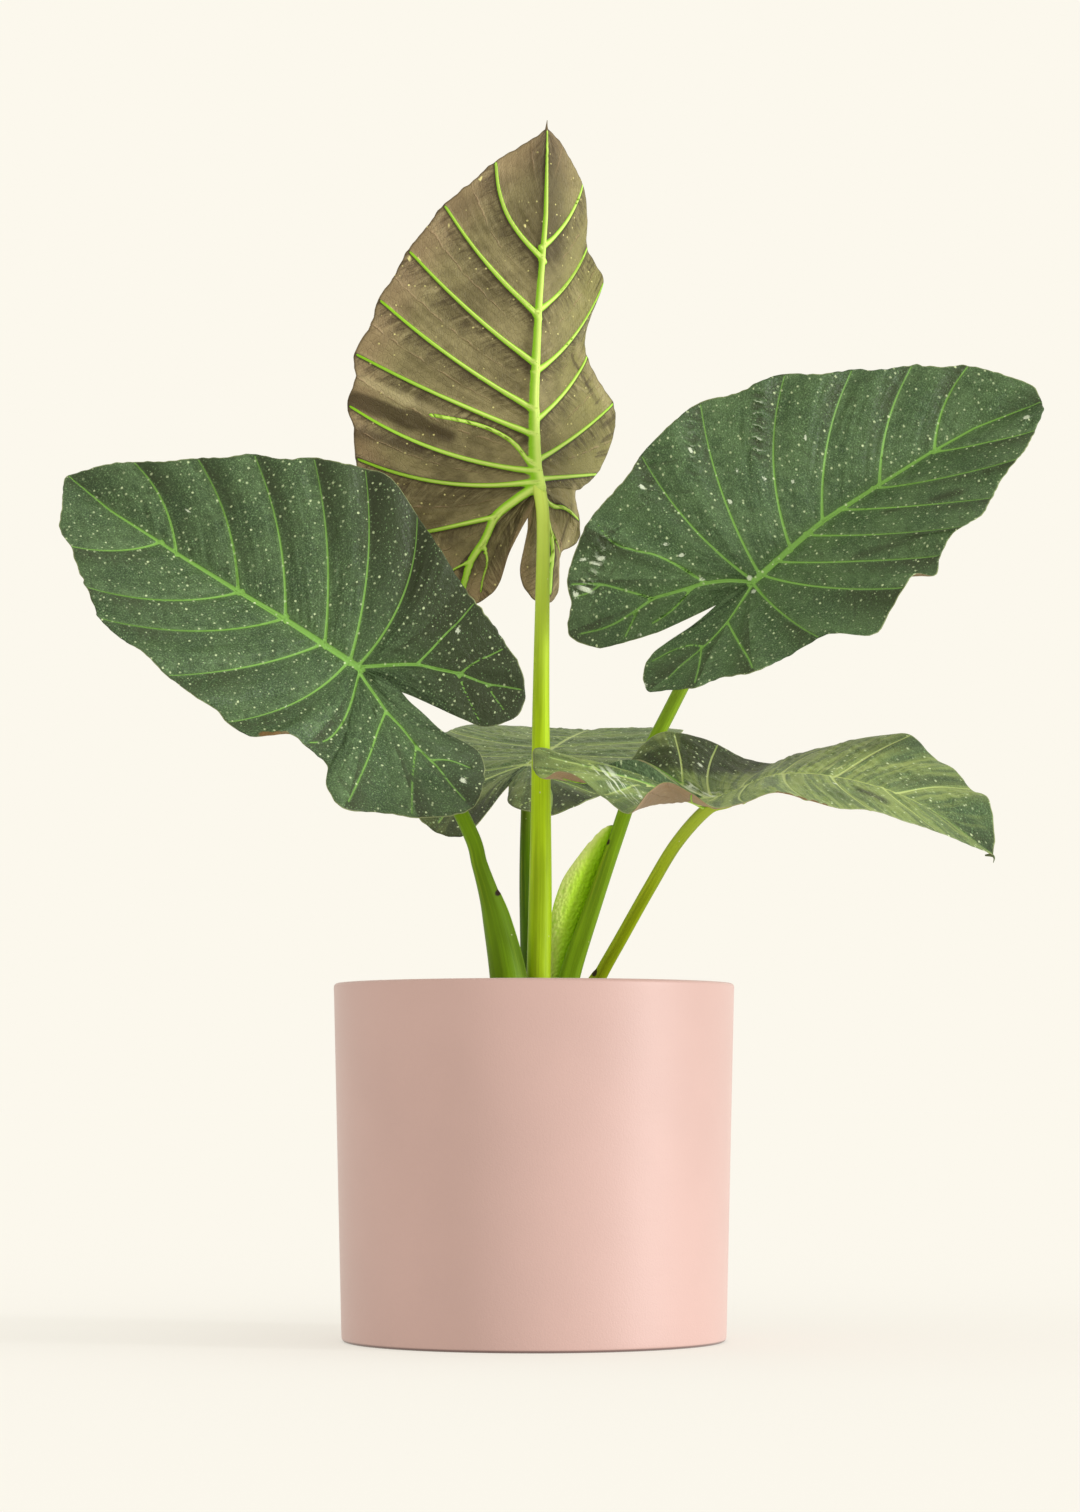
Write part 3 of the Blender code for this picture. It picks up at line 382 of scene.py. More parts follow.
class Blade:
    """One leaf blade: its plane, its outline, its rays from midrib to margin, its height and its veins."""

    def __init__(self, name, look):
        rows = BLADES[name]
        self.name, self.look = name, look
        self.origin = np.array(rows["junction"])
        self.along = unit(np.array(rows["tip"]) - self.origin)
        facing = np.array(rows["facing"])
        self.up = unit(facing - (facing @ self.along) * self.along)
        self.across = np.cross(self.up, self.along)
        self.slope = math.tan(math.radians(rows["fold"]))
        self.rib, self.bend = rows["rib"], np.array(rows["bend"], float)
        self.midrib = np.array(rows["midrib"], float)
        self.length = self.midrib[-1, 0]
        first = (self.length, self.midrib[-1, 1], 0, LAST_ROOT * self.length, 0)
        last = tuple(rows["sinus"]) + (-90, 0)
        self.rows = {-1: (first, *rows["left"], last), 1: (first, *rows["right"], last)}
        self.lines = self.vein_lines()

    def spine(self, u):
        return np.interp(u, self.midrib[:, 0], self.midrib[:, 1])

    def given(self, side):
        """The margin rows that say where their ray starts, and those starts."""
        rows = self.rows[side]
        given = [k for k, row in enumerate(rows) if len(row) > 3]
        return np.array(given, float), np.array([rows[k][3] for k in given], float)

    def ray(self, side, t, s):
        """Points on the flat plane: t numbers the rows of the margin from tip to sinus, s runs from the
        midrib at 0 to the margin at 1 along a parabola that bows toward the tip."""
        rows = self.rows[side]
        margin = through([row[:2] for row in rows], t)
        given, roots = self.given(side)
        root = np.interp(t, given, roots)
        bow = np.interp(t, given, [rows[int(k)][4] for k in given])[..., None]
        u = np.clip(root, 0, None)
        turn = np.radians(90 - np.clip(root, -90, 0))
        width = RIB_HALF_WIDTH * (1 - u / (LAST_ROOT * self.length))
        start = np.stack([u + width * np.cos(turn), self.spine(u) + side * width * np.sin(turn)], -1)
        chord = margin - start
        control = start + 0.5 * chord + 2 * side * bow * np.stack([-chord[..., 1], chord[..., 0]], -1)
        s = np.asarray(s, float)[..., None]
        return (1 - s) ** 2 * start + 2 * s * (1 - s) * control + s * s * margin

    def height(self, side, t, s, flat):
        """Fold up from the midrib, bend along the leaf and lift at the margin, which fades as s ** 1.5."""
        off = flat[..., 1] - self.spine(flat[..., 0])
        folded = self.slope * (np.sqrt(off * off + 16) - 4)
        bent = through(self.bend[:, None], (flat[..., 0] - BEND_FROM) / BEND_STEP)[..., 0]
        lift = through([row[2:3] for row in self.rows[side]], t)[..., 0]
        return folded + bent + lift * s ** 1.5

    def vein_lines(self):
        """Every vein as (points, half-width at each point, share of the full rib depth): the midrib, the
        side veins along the rays that say where they start, and the veins of the lobes. The left blade's
        ray at -5 carries no vein of its own, because a lobe vein runs there."""
        size, girth = self.length / 235, RIB_GIRTH[self.name]
        u = np.linspace(0.995 * self.length, -2, 40)
        wide = np.interp(u / size, (0, 30, 60, 100, 150, 200, 235), (4.3, 3.9, 3.4, 2.7, 2.0, 1.2, 0.5))
        lines = [(np.stack([u, self.spine(u)], -1), wide * MIDRIB_GIRTH[self.name] * size ** 0.5, 1.0)]
        s = np.linspace(-0.06, 0.985, 18)
        for side in (-1, 1):
            for k, row in enumerate(self.rows[side][1:-1], 1):
                if len(row) == 5 and row[3] >= -6 and not (self.name == "left" and row[3] == -5):
                    line = self.ray(side, np.full(len(s), float(k)), s)
                    lines.append((line, girth * np.interp(s, (0, 0.15, 1), (1.45, 1.05, 0.5)), 0.0))
        for first, last, *points in LOBE_VEINS[self.name]:
            line = through(points, np.linspace(0, len(points) - 1, 4 * len(points)))
            wide = np.linspace(0.85 * first, max(last, 0.6), len(line)) * (girth if first > 1.2 else 1.0)
            lines.append((line, wide, 0.0))
        return lines

    def near_veins(self, flat):
        """(cone, depth, near, foot): cone is 1 on a vein's middle, 0 at its edge and falls on by 1 for each
        half-width further out; depth is how far the ribs stand out below, a half round over each vein; near
        is the distance to the closest vein and foot the closest point of its middle line."""
        cone = np.full(len(flat), -9.0)
        depth = np.zeros(len(flat))
        near = np.full(len(flat), 99.0)
        foot = flat.copy()
        deep = 1.25 + 0.7 * np.exp(-(flat[:, 0] / 24) ** 2)
        for line, wide, midrib in self.lines:
            a, b, wa, wb = line[:-1], line[1:], wide[:-1], wide[1:]
            for p, q, v, w in zip(a, b, wa, wb):
                way = q - p
                share = np.clip(((flat - p) @ way) / (way @ way), 0, 1)
                spot = p + share[:, None] * way
                far = np.hypot(*(flat - spot).T)
                half = v + (w - v) * share
                foot = np.where((far < near)[:, None], spot, foot)
                near = np.minimum(near, far)
                cone = np.maximum(cone, 1 - far / half)
                tall = half * (deep if midrib else self.look.rib_depth)
                depth = np.maximum(depth, tall * np.sqrt(np.clip(1 - (far / half) ** 2, 0, 1)))
        return np.maximum(cone, -9), depth, near, foot

    def columns(self):
        """The starts of the rays of both halves, from tip to sinus: even steps along both halves' outlines,
        and one on each side vein with two close by on either side."""
        roots, fixed = [], []
        for side in (-1, 1):
            given, starts = self.given(side)
            t = np.linspace(0, given[-1], 2000)
            line = self.ray(side, t, np.full(len(t), 0.75))
            way = np.concatenate([[0], np.cumsum(np.hypot(*np.diff(line, axis=0).T))])
            even = np.interp(np.arange(0, way[-1], RAY_STEP), way, t)
            roots.append(np.interp(even, given, starts))
            fixed += [row[3] for row in self.rows[side] if len(row) == 5]
        fixed = np.unique(fixed)
        step = np.where(fixed > 0, 0.95, 0.6)
        close = np.unique((fixed[:, None] + step[:, None] * np.array([-2, -1, 1, 2])[None]).reshape(-1))
        clear = np.abs(close[:, None] - fixed[None]).min(1) > 0.4
        close = close[clear & (close > -90) & (np.abs(close) > 0.3)]
        close = close[np.concatenate([[True], np.diff(close) > 0.4])]
        fixed = np.concatenate([fixed, close, [LAST_ROOT * self.length, -90.0, 0.0]])
        roots = np.unique(np.concatenate(roots))
        roots = roots[np.abs(roots[:, None] - fixed[None]).min(1) > 0.6]
        keep = np.concatenate([[True], np.diff(roots) > 0.3])
        return np.unique(np.concatenate([roots[keep], fixed]))[::-1]

    def grid(self):
        """The whole blade as one grid on its plane: columns from tip to sinus, rows from the left margin
        over the midrib to the right margin. Returns flat points, height, distance to the margin, grain,
        which is (step across the rays, step along the rays), the height's slope along u and v, and the share
        of the way from one side vein, at 0, to the next one toward the stalk, at 1."""
        roots = self.columns()
        x = np.linspace(0, 1, RAY_POINTS)
        s = np.concatenate([x[:-1] * (0.55 + 0.45 * x[:-1]), [0.985, 1.0]])
        halves = []
        for side in (-1, 1):
            given, starts = self.given(side)
            t = np.interp(roots, starts[::-1], given[::-1])
            t = np.broadcast_to(t[:, None], (len(t), len(s)))
            flat = self.ray(side, t, np.broadcast_to(s, t.shape))
            edge = 0.5 * swell(*through([row[:2] for row in self.rows[side]], t[:, 0]).T, 9, 5)
            out = flat[:, -1] - flat[:, -8]
            out /= np.maximum(np.hypot(*out.T), 1e-6)[:, None]
            fade = smooth(roots, -88, -80) * smooth(roots, 0.92 * self.length, 0.86 * self.length)
            flat = flat + (s ** 10)[None, :, None] * (edge * fade)[:, None, None] * out[:, None]
            high = self.height(side, t, s, flat)
            u = np.clip(roots, 0, None)
            middle = np.stack([u, self.spine(u)], -1)
            inner = np.linspace(0, 1, 6)[:-1]
            start = flat[:, :1]
            core = middle[:, None] + (start - middle[:, None]) * inner[None, :, None]
            core_high = self.height(side, t[:, :5], inner * 0, core)
            flat = np.concatenate([core, flat], 1)
            high = np.concatenate([core_high, high], 1)
            step = np.hypot(*np.moveaxis(np.diff(flat, axis=1), -1, 0))
            along = np.concatenate([np.zeros((len(roots), 1)), np.cumsum(step, 1)], 1)
            rim = along[:, -1:] - along
            track = flat[:, TRACK]
            side_way = np.concatenate([[0], np.cumsum(np.hypot(*np.diff(track, axis=0).T))])
            grain = np.stack([np.broadcast_to(side_way[:, None] + 500 * side, along.shape), along], -1)
            fi, fj = np.gradient(flat, axis=0), np.gradient(flat, axis=1)
            hi, hj = np.gradient(high, axis=0), np.gradient(high, axis=1)
            area = fi[..., 0] * fj[..., 1] - fi[..., 1] * fj[..., 0]
            tilt = np.stack([hi * fj[..., 1] - hj * fi[..., 1], hj * fi[..., 0] - hi * fj[..., 0]], -1)
            tilt = tilt / np.where(np.abs(area) < 0.05, np.inf, area)[..., None]
            knots = np.array([row[3] for row in self.rows[side] if len(row) == 5], float)
            k = np.clip(np.searchsorted(-knots, -roots, side="right") - 1, 0, len(knots) - 2)
            panel = (knots[k] - roots) / (knots[k] - knots[k + 1])
            panel = np.broadcast_to(panel[:, None], high.shape)
            halves.append((flat, high, rim, grain, np.clip(tilt, -1, 1), panel))
        return [np.concatenate([a[:, ::-1], b[:, 1:]], 1) for a, b in zip(*halves)]

    def make(self):
        """The closed blade: an upper and a lower face with the same triangles, joined round the margin. The
        skin puffs up between the veins by quilting * (1 - exp(-(distance / 7) ** 2)), sinks over each vein,
        and the lower face lies one thickness and one rib depth below the upper."""
        look = self.look
        flat, high, rim, grain, tilt, panel = self.grid()
        n, m = high.shape
        faces = grid_faces(n, m)
        flat, high, rim = flat.reshape(-1, 2), high.reshape(-1), rim.reshape(-1)
        grain, tilt, panel = grain.reshape(-1, 2), tilt.reshape(-1, 2), panel.reshape(-1)
        _, first, same = np.unique(np.floor(flat * 1000 + 0.37).astype(int), axis=0, return_index=True,
                                   return_inverse=True)
        flat, high, rim, grain, tilt, panel = (x[first] for x in (flat, high, rim, grain, tilt, panel))
        faces = same.reshape(-1)[faces]
        e, f, g = (flat[faces[:, k]] for k in range(3))
        area = (f[:, 0] - e[:, 0]) * (g[:, 1] - e[:, 1]) - (f[:, 1] - e[:, 1]) * (g[:, 0] - e[:, 0])
        faces = np.where(area[:, None] < 0, faces[:, ::-1], faces)
        faces = faces[np.abs(area) > 1e-7]
        _, _, near, foot = self.near_veins(flat)
        pull = (foot - flat) * (smooth(near, 1.5, 0.7) * smooth(rim, 1.5, 4.0))[:, None]
        flat, high = flat + pull, high + (pull * tilt).sum(1)
        cone, depth, near, _ = self.near_veins(flat)
        fade = smooth(rim, 0, 9)
        puff = look.quilting / MM * (1 - np.exp(-(near / 7.0) ** 2))
        high = high + (puff - 0.4 * look.quilting / MM) * (0.35 + 0.65 * fade)
        x, y = grain.T
        crease = swell((0.9 * y + x) * 0.26, (y - 0.9 * x) * 1.1, 11, 3)
        pleat = swell(x * 1.2, y * 0.25, 9, 4)
        high += look.creasing / MM * fade * (crease + pleat) * smooth(near, 0.5, 5)
        high -= 0.45 * np.clip(cone, 0, 1) * fade
        boss = 5.0 * np.exp(-((flat[:, 0] + 1) ** 2 + flat[:, 1] ** 2) / 60.0)
        thick = look.thickness / MM * (0.55 + 0.45 * smooth(rim, 0, 1.6))
        low = high - thick - (depth + boss) * smooth(rim, 0, 3)
        high = high - 0.2 * (1 - smooth(rim, 0, 1.2))
        points = np.concatenate([self.place(flat, high), self.place(flat, low)])
        solid, upper = joined(len(flat), faces)
        if self.name != "upright":
            upper[2 * len(faces):] = True
        # sky: how far the upper face looks up, which places the painted top light
        sky = facing_up(points[:len(flat)], faces)
        tables = dict(mark=SCARS_AND_GLINTS, shine=SHINE, burn=BURNS)
        marks = {key: spots(flat, table.get(self.name, ())) for key, table in tables.items()}
        # painted folds: dark valleys of painted shade and pale ridges of painted light
        fold = folded(flat, PAINTED_FOLDS[self.name])
        twice = {key: np.tile(x, 2) for key, x in
                 dict(cone=cone, rim=rim, sky=sky, panel=panel, fold=fold, **marks).items()}
        none = np.zeros((len(grain), 1))
        vectors = {key: np.tile(np.concatenate([x, none], 1), (2, 1)) for key, x in
                   dict(grain=grain, flat=flat).items()}
        vectors["pucker"] = np.tile(puckered(flat, PUCKERS.get(self.name, ())), (2, 1))
        return self.tipped(points, solid, upper, twice, vectors)

    def tipped(self, points, faces, upper, values, vectors):
        """Adds the thin point at the tip: a narrow cone along a short bend, sunk into the blade's end."""
        if self.name not in DRIP_TIPS:
            return points, faces, upper, values, vectors
        u, v = self.midrib[-1]
        end = self.height(1, np.array([0.0]), np.array([1.0]), np.array([[u, v]]))[0] - 0.6
        rows = [(u + a, v + b, end + c) for a, b, c in ((-5, 0, 0), (-0.8, 0, 0), *DRIP_TIPS[self.name])]
        rings, sides = 14, 10
        line = through(rows, np.linspace(0, len(rows) - 1, rings))
        _, side, front = carried(self.place(line[:, :2], line[:, 2]))
        radius = np.interp(np.arange(rings), (0, 4, 7, 13), (0.5, 1.1, 0.7, 0.12))[:, None, None]
        tube = self.place(line[:, :2], line[:, 2])[:, None] + radius * spokes(side, front, around(sides))
        extra = tube_faces(rings, sides) + len(points)
        more = np.concatenate([tube.reshape(-1, 3), self.place(line[[0, -1], :2], line[[0, -1], 2])])
        values = {key: np.concatenate([x, np.full(len(more), -9.0 if key == "cone" else 0.0)])
                  for key, x in values.items()}
        spot = np.tile([u, v, 0.0], (len(more), 1))
        vectors = {key: np.concatenate([x, spot]) for key, x in vectors.items()}
        return (np.concatenate([points, more]), np.concatenate([faces, extra]),
                np.concatenate([upper, np.full(len(extra), self.name != "upright")]), values, vectors)

    def place(self, flat, height):
        return self.origin + flat[:, :1] * self.along + flat[:, 1:] * self.across + height[:, None] * self.up


def joined(n, faces):
    """The faces of a closed solid whose upper points are numbered from 0 and lower points from n: the same
    triangles above and below, and two for each open edge. Also which of them belong to the upper face."""
    ends = np.concatenate([faces[:, [0, 1]], faces[:, [1, 2]], faces[:, [2, 0]]]).astype(np.int64)
    here, back = ends[:, 0] * n + ends[:, 1], ends[:, 1] * n + ends[:, 0]
    a, b = ends[~np.isin(back, here)].T
    wall = np.concatenate([np.stack([b, a, a + n], -1), np.stack([b, a + n, b + n], -1)])
    solid = np.concatenate([faces, faces[:, ::-1] + n, wall])
    upper = np.zeros(len(solid), bool)
    upper[:len(faces)] = True
    return solid, upper


def facing_up(points, faces):
    """The upward part of the surface's normal at each point, from -1 to 1."""
    a, b, c = (points[faces[:, k]] for k in range(3))
    square = np.cross(b - a, c - a)
    total = np.zeros_like(points)
    for k in range(3):
        np.add.at(total, faces[:, k], square)
    return total[:, 2] / np.maximum(np.linalg.norm(total, axis=1), 1e-9)


def split(a, b, c, d):
    """Two triangles for each square a, b, c, d."""
    return np.concatenate([np.stack([a, b, c], -1).reshape(-1, 3), np.stack([a, c, d], -1).reshape(-1, 3)])


def grid_faces(n, m):
    """The triangles of n rows of m points."""
    index = np.arange(n * m).reshape(n, m)
    return split(index[:-1, :-1], index[1:, :-1], index[1:, 1:], index[:-1, 1:])


def around(sides):
    """Angles in even steps once round, from 0."""
    return np.arange(sides) * 2 * math.pi / sides


def spokes(side, front, turn):
    """For each pair of square vectors, the unit vectors at the angles turn between them."""
    return side[:, None] * np.cos(turn)[:, None] + front[:, None] * np.sin(turn)[:, None]


def tube_faces(n, m):
    """The triangles of a closed tube: n rings of m points, then one point at its foot, one at its head."""
    index = np.arange(n * m).reshape(n, m)
    after = np.roll(index, -1, axis=1)
    return np.concatenate([split(index[:-1], after[:-1], after[1:], index[1:]),
                           np.stack([after[0], index[0], np.full(m, n * m)], -1),
                           np.stack([index[-1], after[-1], np.full(m, n * m + 1)], -1)])


def disc(radius, rings, sides):
    """(x, y, triangles) of a round sheet: rings of points about one middle point, closer toward the rim."""
    r = radius * (np.arange(1, rings + 1) / rings) ** 0.8
    turn = around(sides)
    x = np.concatenate([[0.0], (r[:, None] * np.cos(turn)).reshape(-1)])
    y = np.concatenate([[0.0], (r[:, None] * np.sin(turn)).reshape(-1)])
    index = 1 + np.arange(rings * sides).reshape(rings, sides)
    after = np.roll(index, -1, axis=1)
    fan = np.stack([np.zeros(sides, int), index[0], after[0]], -1)
    return x, y, np.concatenate([fan, split(index[:-1], index[1:], after[1:], after[:-1])])


def slab(x, y, z, low, faces):
    """(points, triangles) of the closed solid between a sheet and a flat underside at height low."""
    points = [np.stack([x, y, z], -1), np.stack([x, y, np.full(len(x), low)], -1)]
    return np.concatenate(points), joined(len(x), faces)[0]


def revolved(profile, sides):
    """A closed solid: a profile of (radius, height) that starts and ends on the axis, turned about it."""
    profile = np.array(profile, float)
    turn = around(sides)
    ring = profile[1:-1]
    points = np.stack([ring[:, :1] * np.cos(turn), ring[:, :1] * np.sin(turn),
                       np.repeat(ring[:, 1:], sides, 1)], -1).reshape(-1, 3)
    points = np.concatenate([points, [[0, 0, profile[0, 1]], [0, 0, profile[-1, 1]]]])
    return points, tube_faces(len(ring), sides)


def quarter(centre, radius, start):
    """Nine points of a quarter round, turning anticlockwise from the start angle in degrees."""
    turn = np.radians(start + np.linspace(0, 90, 9))
    return [(centre[0] + radius * math.cos(a), centre[1] + radius * math.sin(a)) for a in turn]


def carried(path):
    """Two unit vectors across a path at each of its points: the first starts along +X and each is the one
    before it, made square to the path's new heading."""
    way = np.gradient(path, axis=0)
    way /= np.linalg.norm(way, axis=1, keepdims=True)
    side = np.array([1.0, 0.0, 0.0])
    first, second = [], []
    for w in way:
        side = unit(side - (side @ w) * w)
        first.append(side)
        second.append(np.cross(w, side))
    return way, np.array(first), np.array(second)


def stalk(name, look):
    """A round profile carried along the stalk's path, with a flange where a sheath's edge runs down it:
    radius + stand * share of the flange's height left ** taper * exp(-(turn from it / half-width) ** 2). The
    path bends into the midrib. A flange that stands out by more than 1 mm ends in a dry tip."""
    blade = Blade(name, look)
    rib, r = blade.rib, STALKS[name][-1][3]
    u = np.array([0.0, 15.0, 38.0])
    flat = np.stack([u, blade.spine(u)], -1)
    sunk = blade.height(1, 0 * u, 0 * u, flat) - np.array([rib + 2.5, 0.78 * r + 2.0, 0.4 * r + 1.8])
    sunk = sunk - (1.5 if name == "low_right" else 0)
    end, inside, last = blade.place(flat, sunk)
    rows = np.array([*STALKS[name], (*end, r), (*inside, 0.78 * r), (*last, 0.4 * r)], float)
    t = np.linspace(0, len(rows) - 1, 24 * (len(rows) - 1) + 1)
    path = through(rows, t)
    low = path[:, 2] < CROWN_TOP + 3
    path[low, :2] = rows[0, :2]
    line, radius = path[:, :3], path[:, 3]
    way, side, front = carried(line)
    turn = around(look.sides)
    out = np.broadcast_to(radius[:, None], (len(line), look.sides)).copy()
    dry = np.zeros(out.shape)
    crest = np.zeros(out.shape)
    z = line[:, 2:3]

    def away(heading):
        angle = turn - math.radians(heading)
        return np.degrees(np.arctan2(np.sin(angle), np.cos(angle)))

    for heading, foot, top, stand, half, taper in FLANGES[name]:
        gap = away(heading)
        wide = np.exp(-(gap[None] / half) ** 2)
        tall = smooth(z, top, top - 3) * np.clip((top - z) / (top - foot), 0, 1) ** taper
        out += stand * tall * wide
        crest = np.maximum(crest, tall * np.exp(-(gap[None] / (0.45 * half)) ** 2))
        if stand > 1:
            dry = np.maximum(dry, np.exp(-((z - top + 1) / 2.2) ** 2) * wide)
    if name in DRY_TIPS:
        heading, level, half, tall = DRY_TIPS[name]
        dry = np.maximum(dry, np.exp(-(away(heading)[None] / half) ** 2 - ((z - level) / tall) ** 2))
    points = line[:, None] + out[..., None] * spokes(side, front, turn)
    faces = tube_faces(*out.shape)
    points = np.concatenate([points.reshape(-1, 3), line[:1], line[-1:] + 0.1 * way[-1:]])
    far = np.concatenate([[0], np.cumsum(np.linalg.norm(np.diff(line, axis=0), axis=1))])
    flow = np.stack([5 * np.cos(turn) + 0 * far[:, None], 5 * np.sin(turn) + 0 * far[:, None],
                     far[:, None] + 0 * turn], -1).reshape(-1, 3)
    flow = np.concatenate([flow, [[0, 0, 0], [0, 0, far[-1]]]])
    rise = (far / far[-1])[:, None] + 0 * turn
    values = {key: np.concatenate([x.reshape(-1), [0, 0]]) for key, x in
              dict(dry=dry, crest=crest, rise=rise).items()}
    return points, faces, values, {"grain": flow}


def sheath(look):
    """A thin wing that hugs the back of the right leaf's stalk and opens to the left: at each height a line
    of the stalk's back, run on to the left and bulged forward by bulge * sin(2.2 * share), thickened along
    its own normal. Its top narrows to a point."""
    rows = np.array(SHEATH_ROWS, float)
    level = through(rows, np.linspace(0, len(rows) - 1, 120))
    line = through(STALKS["right"], np.linspace(0, len(STALKS["right"]) - 1, 90))
    line[line[:, 2] < CROWN_TOP + 3, :2] = line[0, :2]
    level[:, 1] *= 1 - 0.12 * smooth(level[:, 0], 275, 318)
    x, y, radius = (np.interp(level[:, 0], line[:, 2], line[:, k]) for k in (0, 1, 3))
    hug = radius + 0.9
    open_up = smooth(level[:, 0], 333, 318)[:, None]
    wrapped, free = 14, 44
    turn = np.radians(10 - 50 * np.linspace(1, 0, wrapped) * open_up)
    wrap = np.stack([x[:, None] - hug[:, None] * np.sin(turn), y[:, None] + hug[:, None] * np.cos(turn)], -1)
    share = np.linspace(0.03, 1, free)
    wing_x = wrap[:, -1:, 0] - (level[:, 1:2] + hug[:, None] * 0.6) * share
    wing_y = wrap[:, -1:, 1] - level[:, 2:3] * np.sin(share * 2.2)
    section = np.concatenate([wrap, np.stack([wing_x, wing_y], -1)], 1)
    n, m = section.shape[:2]
    share = np.concatenate([np.zeros(wrapped), share])
    way = np.gradient(section, axis=1)
    way /= np.maximum(np.linalg.norm(way, axis=-1, keepdims=True), 1e-6)
    thick = look.sheath_thickness / MM * (0.35 + 0.65 * smooth(share, 1.0, 0.8))[None, :, None]
    z = level[:, :1, None] + 0 * section[..., :1]
    z = z + 0.5 * swell(section[..., :1] * 1.0, z, 9, 11) * smooth(level[:, :1, None], 300, 331)
    back = section + thick * np.stack([way[..., 1], -way[..., 0]], -1)
    points = np.concatenate([np.concatenate([face, z], -1).reshape(-1, 3) for face in (section, back)])
    solid, _ = joined(n * m, grid_faces(n, m))
    wide = np.broadcast_to(share, (n, m)).reshape(-1)
    tall = np.broadcast_to(level[:, :1], (n, m)).reshape(-1)
    out = (level[:, 1:2] * share[None]).reshape(-1)
    flow = np.stack([out, tall, 0 * out], -1)
    values = dict(wide=np.concatenate([wide, wide]), dry=np.tile(smooth(tall - 2 * wide, 330.5, 332.5), 2))
    return points, solid, values, {"grain": np.concatenate([flow, flow])}


class Wire:
    """A value of a material that is written in expressions; each operation adds one Math node."""

    def __init__(self, finish, socket):
        self.finish, self.socket = finish, socket

    def math(self, operation, *values):
        return self.finish.math(operation, *values)

    def __add__(self, other):
        return self.math("ADD", self, other)

    def __radd__(self, other):
        return self.math("ADD", other, self)

    def __sub__(self, other):
        return self.math("SUBTRACT", self, other)

    def __rsub__(self, other):
        return self.math("SUBTRACT", other, self)

    def __mul__(self, other):
        return self.math("MULTIPLY", self, other)

    def __rmul__(self, other):
        return self.math("MULTIPLY", other, self)

    def __gt__(self, other):
        return self.math("GREATER_THAN", self, other)


class Finish:
    """One material, with a method for any node and short ones for the nodes that are used often."""

    def __init__(self, name, look=None, **constants):
        self.look = look
        self.material = bpy.data.materials.new(name)
        self.material.use_nodes = True
        self.tree = self.material.node_tree
        self.shader = self.tree.nodes["Principled BSDF"]
        for socket, value in constants.items():
            self.shader.inputs[socket.replace("_", " ")].default_value = value

    def node(self, kind, settings=None, sockets=None, out=0):
        node = self.tree.nodes.new(kind)
        for name, value in (settings or {}).items():
            setattr(node, name, value)
        for name, value in (sockets or {}).items():
            if isinstance(value, Wire):
                self.tree.links.new(value.socket, node.inputs[name])
            else:
                node.inputs[name].default_value = value
        return Wire(self, node.outputs[out])

    def math(self, operation, *values):
        return self.node("ShaderNodeMath", {"operation": operation}, dict(enumerate(values)))

    def place(self):
        return self.node("ShaderNodeTexCoord", out="Object")

    def value(self, name):
        return self.node("ShaderNodeAttribute", {"attribute_name": name}, out="Fac")

    def vector(self, name):
        return self.node("ShaderNodeAttribute", {"attribute_name": name}, out="Vector")

    def part(self, vector, axis):
        return self.node("ShaderNodeSeparateXYZ", sockets={0: vector}, out=axis)

    def scaled(self, vector, *by):
        """The vector times one number, or times a number for each of its parts."""
        return self.node("ShaderNodeVectorMath", {"operation": "MULTIPLY"}, {0: vector, 1: (by * 3)[:3]})

    def noise(self, vector, scale=1.0, detail=3.0, roughness=0.55, distortion=0.0):
        return self.node("ShaderNodeTexNoise", {}, {"Vector": vector, "Scale": scale, "Detail": detail,
                                                    "Roughness": roughness, "Distortion": distortion})

    def cells(self, vector, scale=1.0, out="Distance", feature="F1", dimensions="3D"):
        return self.node("ShaderNodeTexVoronoi", {"feature": feature, "voronoi_dimensions": dimensions},
                         {"Vector": vector, "Scale": scale}, out)

    def soft(self, value, low, high):
        """0 below low, 1 above high, smooth between; low may lie above high."""
        return self.node("ShaderNodeMapRange", {"interpolation_type": "SMOOTHSTEP"},
                         {"Value": value, "From Min": low, "From Max": high})

    def blend(self, share, first, second):
        """From the first colour at 0 to the second at 1. A colour is a wire, a tuple or its name in look."""
        pick = [tuple(getattr(self.look, c)) if isinstance(c, str) else c for c in (first, second)]
        pick = [(*c, 1.0) if isinstance(c, tuple) else c for c in pick]
        return self.node("ShaderNodeMix", {"data_type": "RGBA"}, {0: share, 6: pick[0], 7: pick[1]}, out=2)

    def coats(self, colour, *coats):
        """The colour with coats laid over it in turn, each a (share, colour)."""
        for share, coat in coats:
            colour = self.blend(share, colour, coat)
        return colour

    def relief(self, height, reach):
        """Bumps as deep as reach where the height runs from 0 to 1."""
        return self.node("ShaderNodeBump", {}, {"Height": height, "Distance": reach, "Strength": 1.0})

    def done(self, **links):
        for socket, wire in links.items():
            self.tree.links.new(wire.socket, self.shader.inputs[socket.replace("_", " ")])
        return self.material


def srgb(*parts):
    """A colour as the renderer wants it, from the 0 to 255 parts that a screen shows."""
    c = np.array(parts) / 255
    return tuple(np.where(c <= 0.04045, c / 12.92, ((c + 0.055) / 1.055) ** 2.4).tolist())


def times(share, colour):
    """A colour made darker or lighter."""
    return tuple(share * c for c in colour)


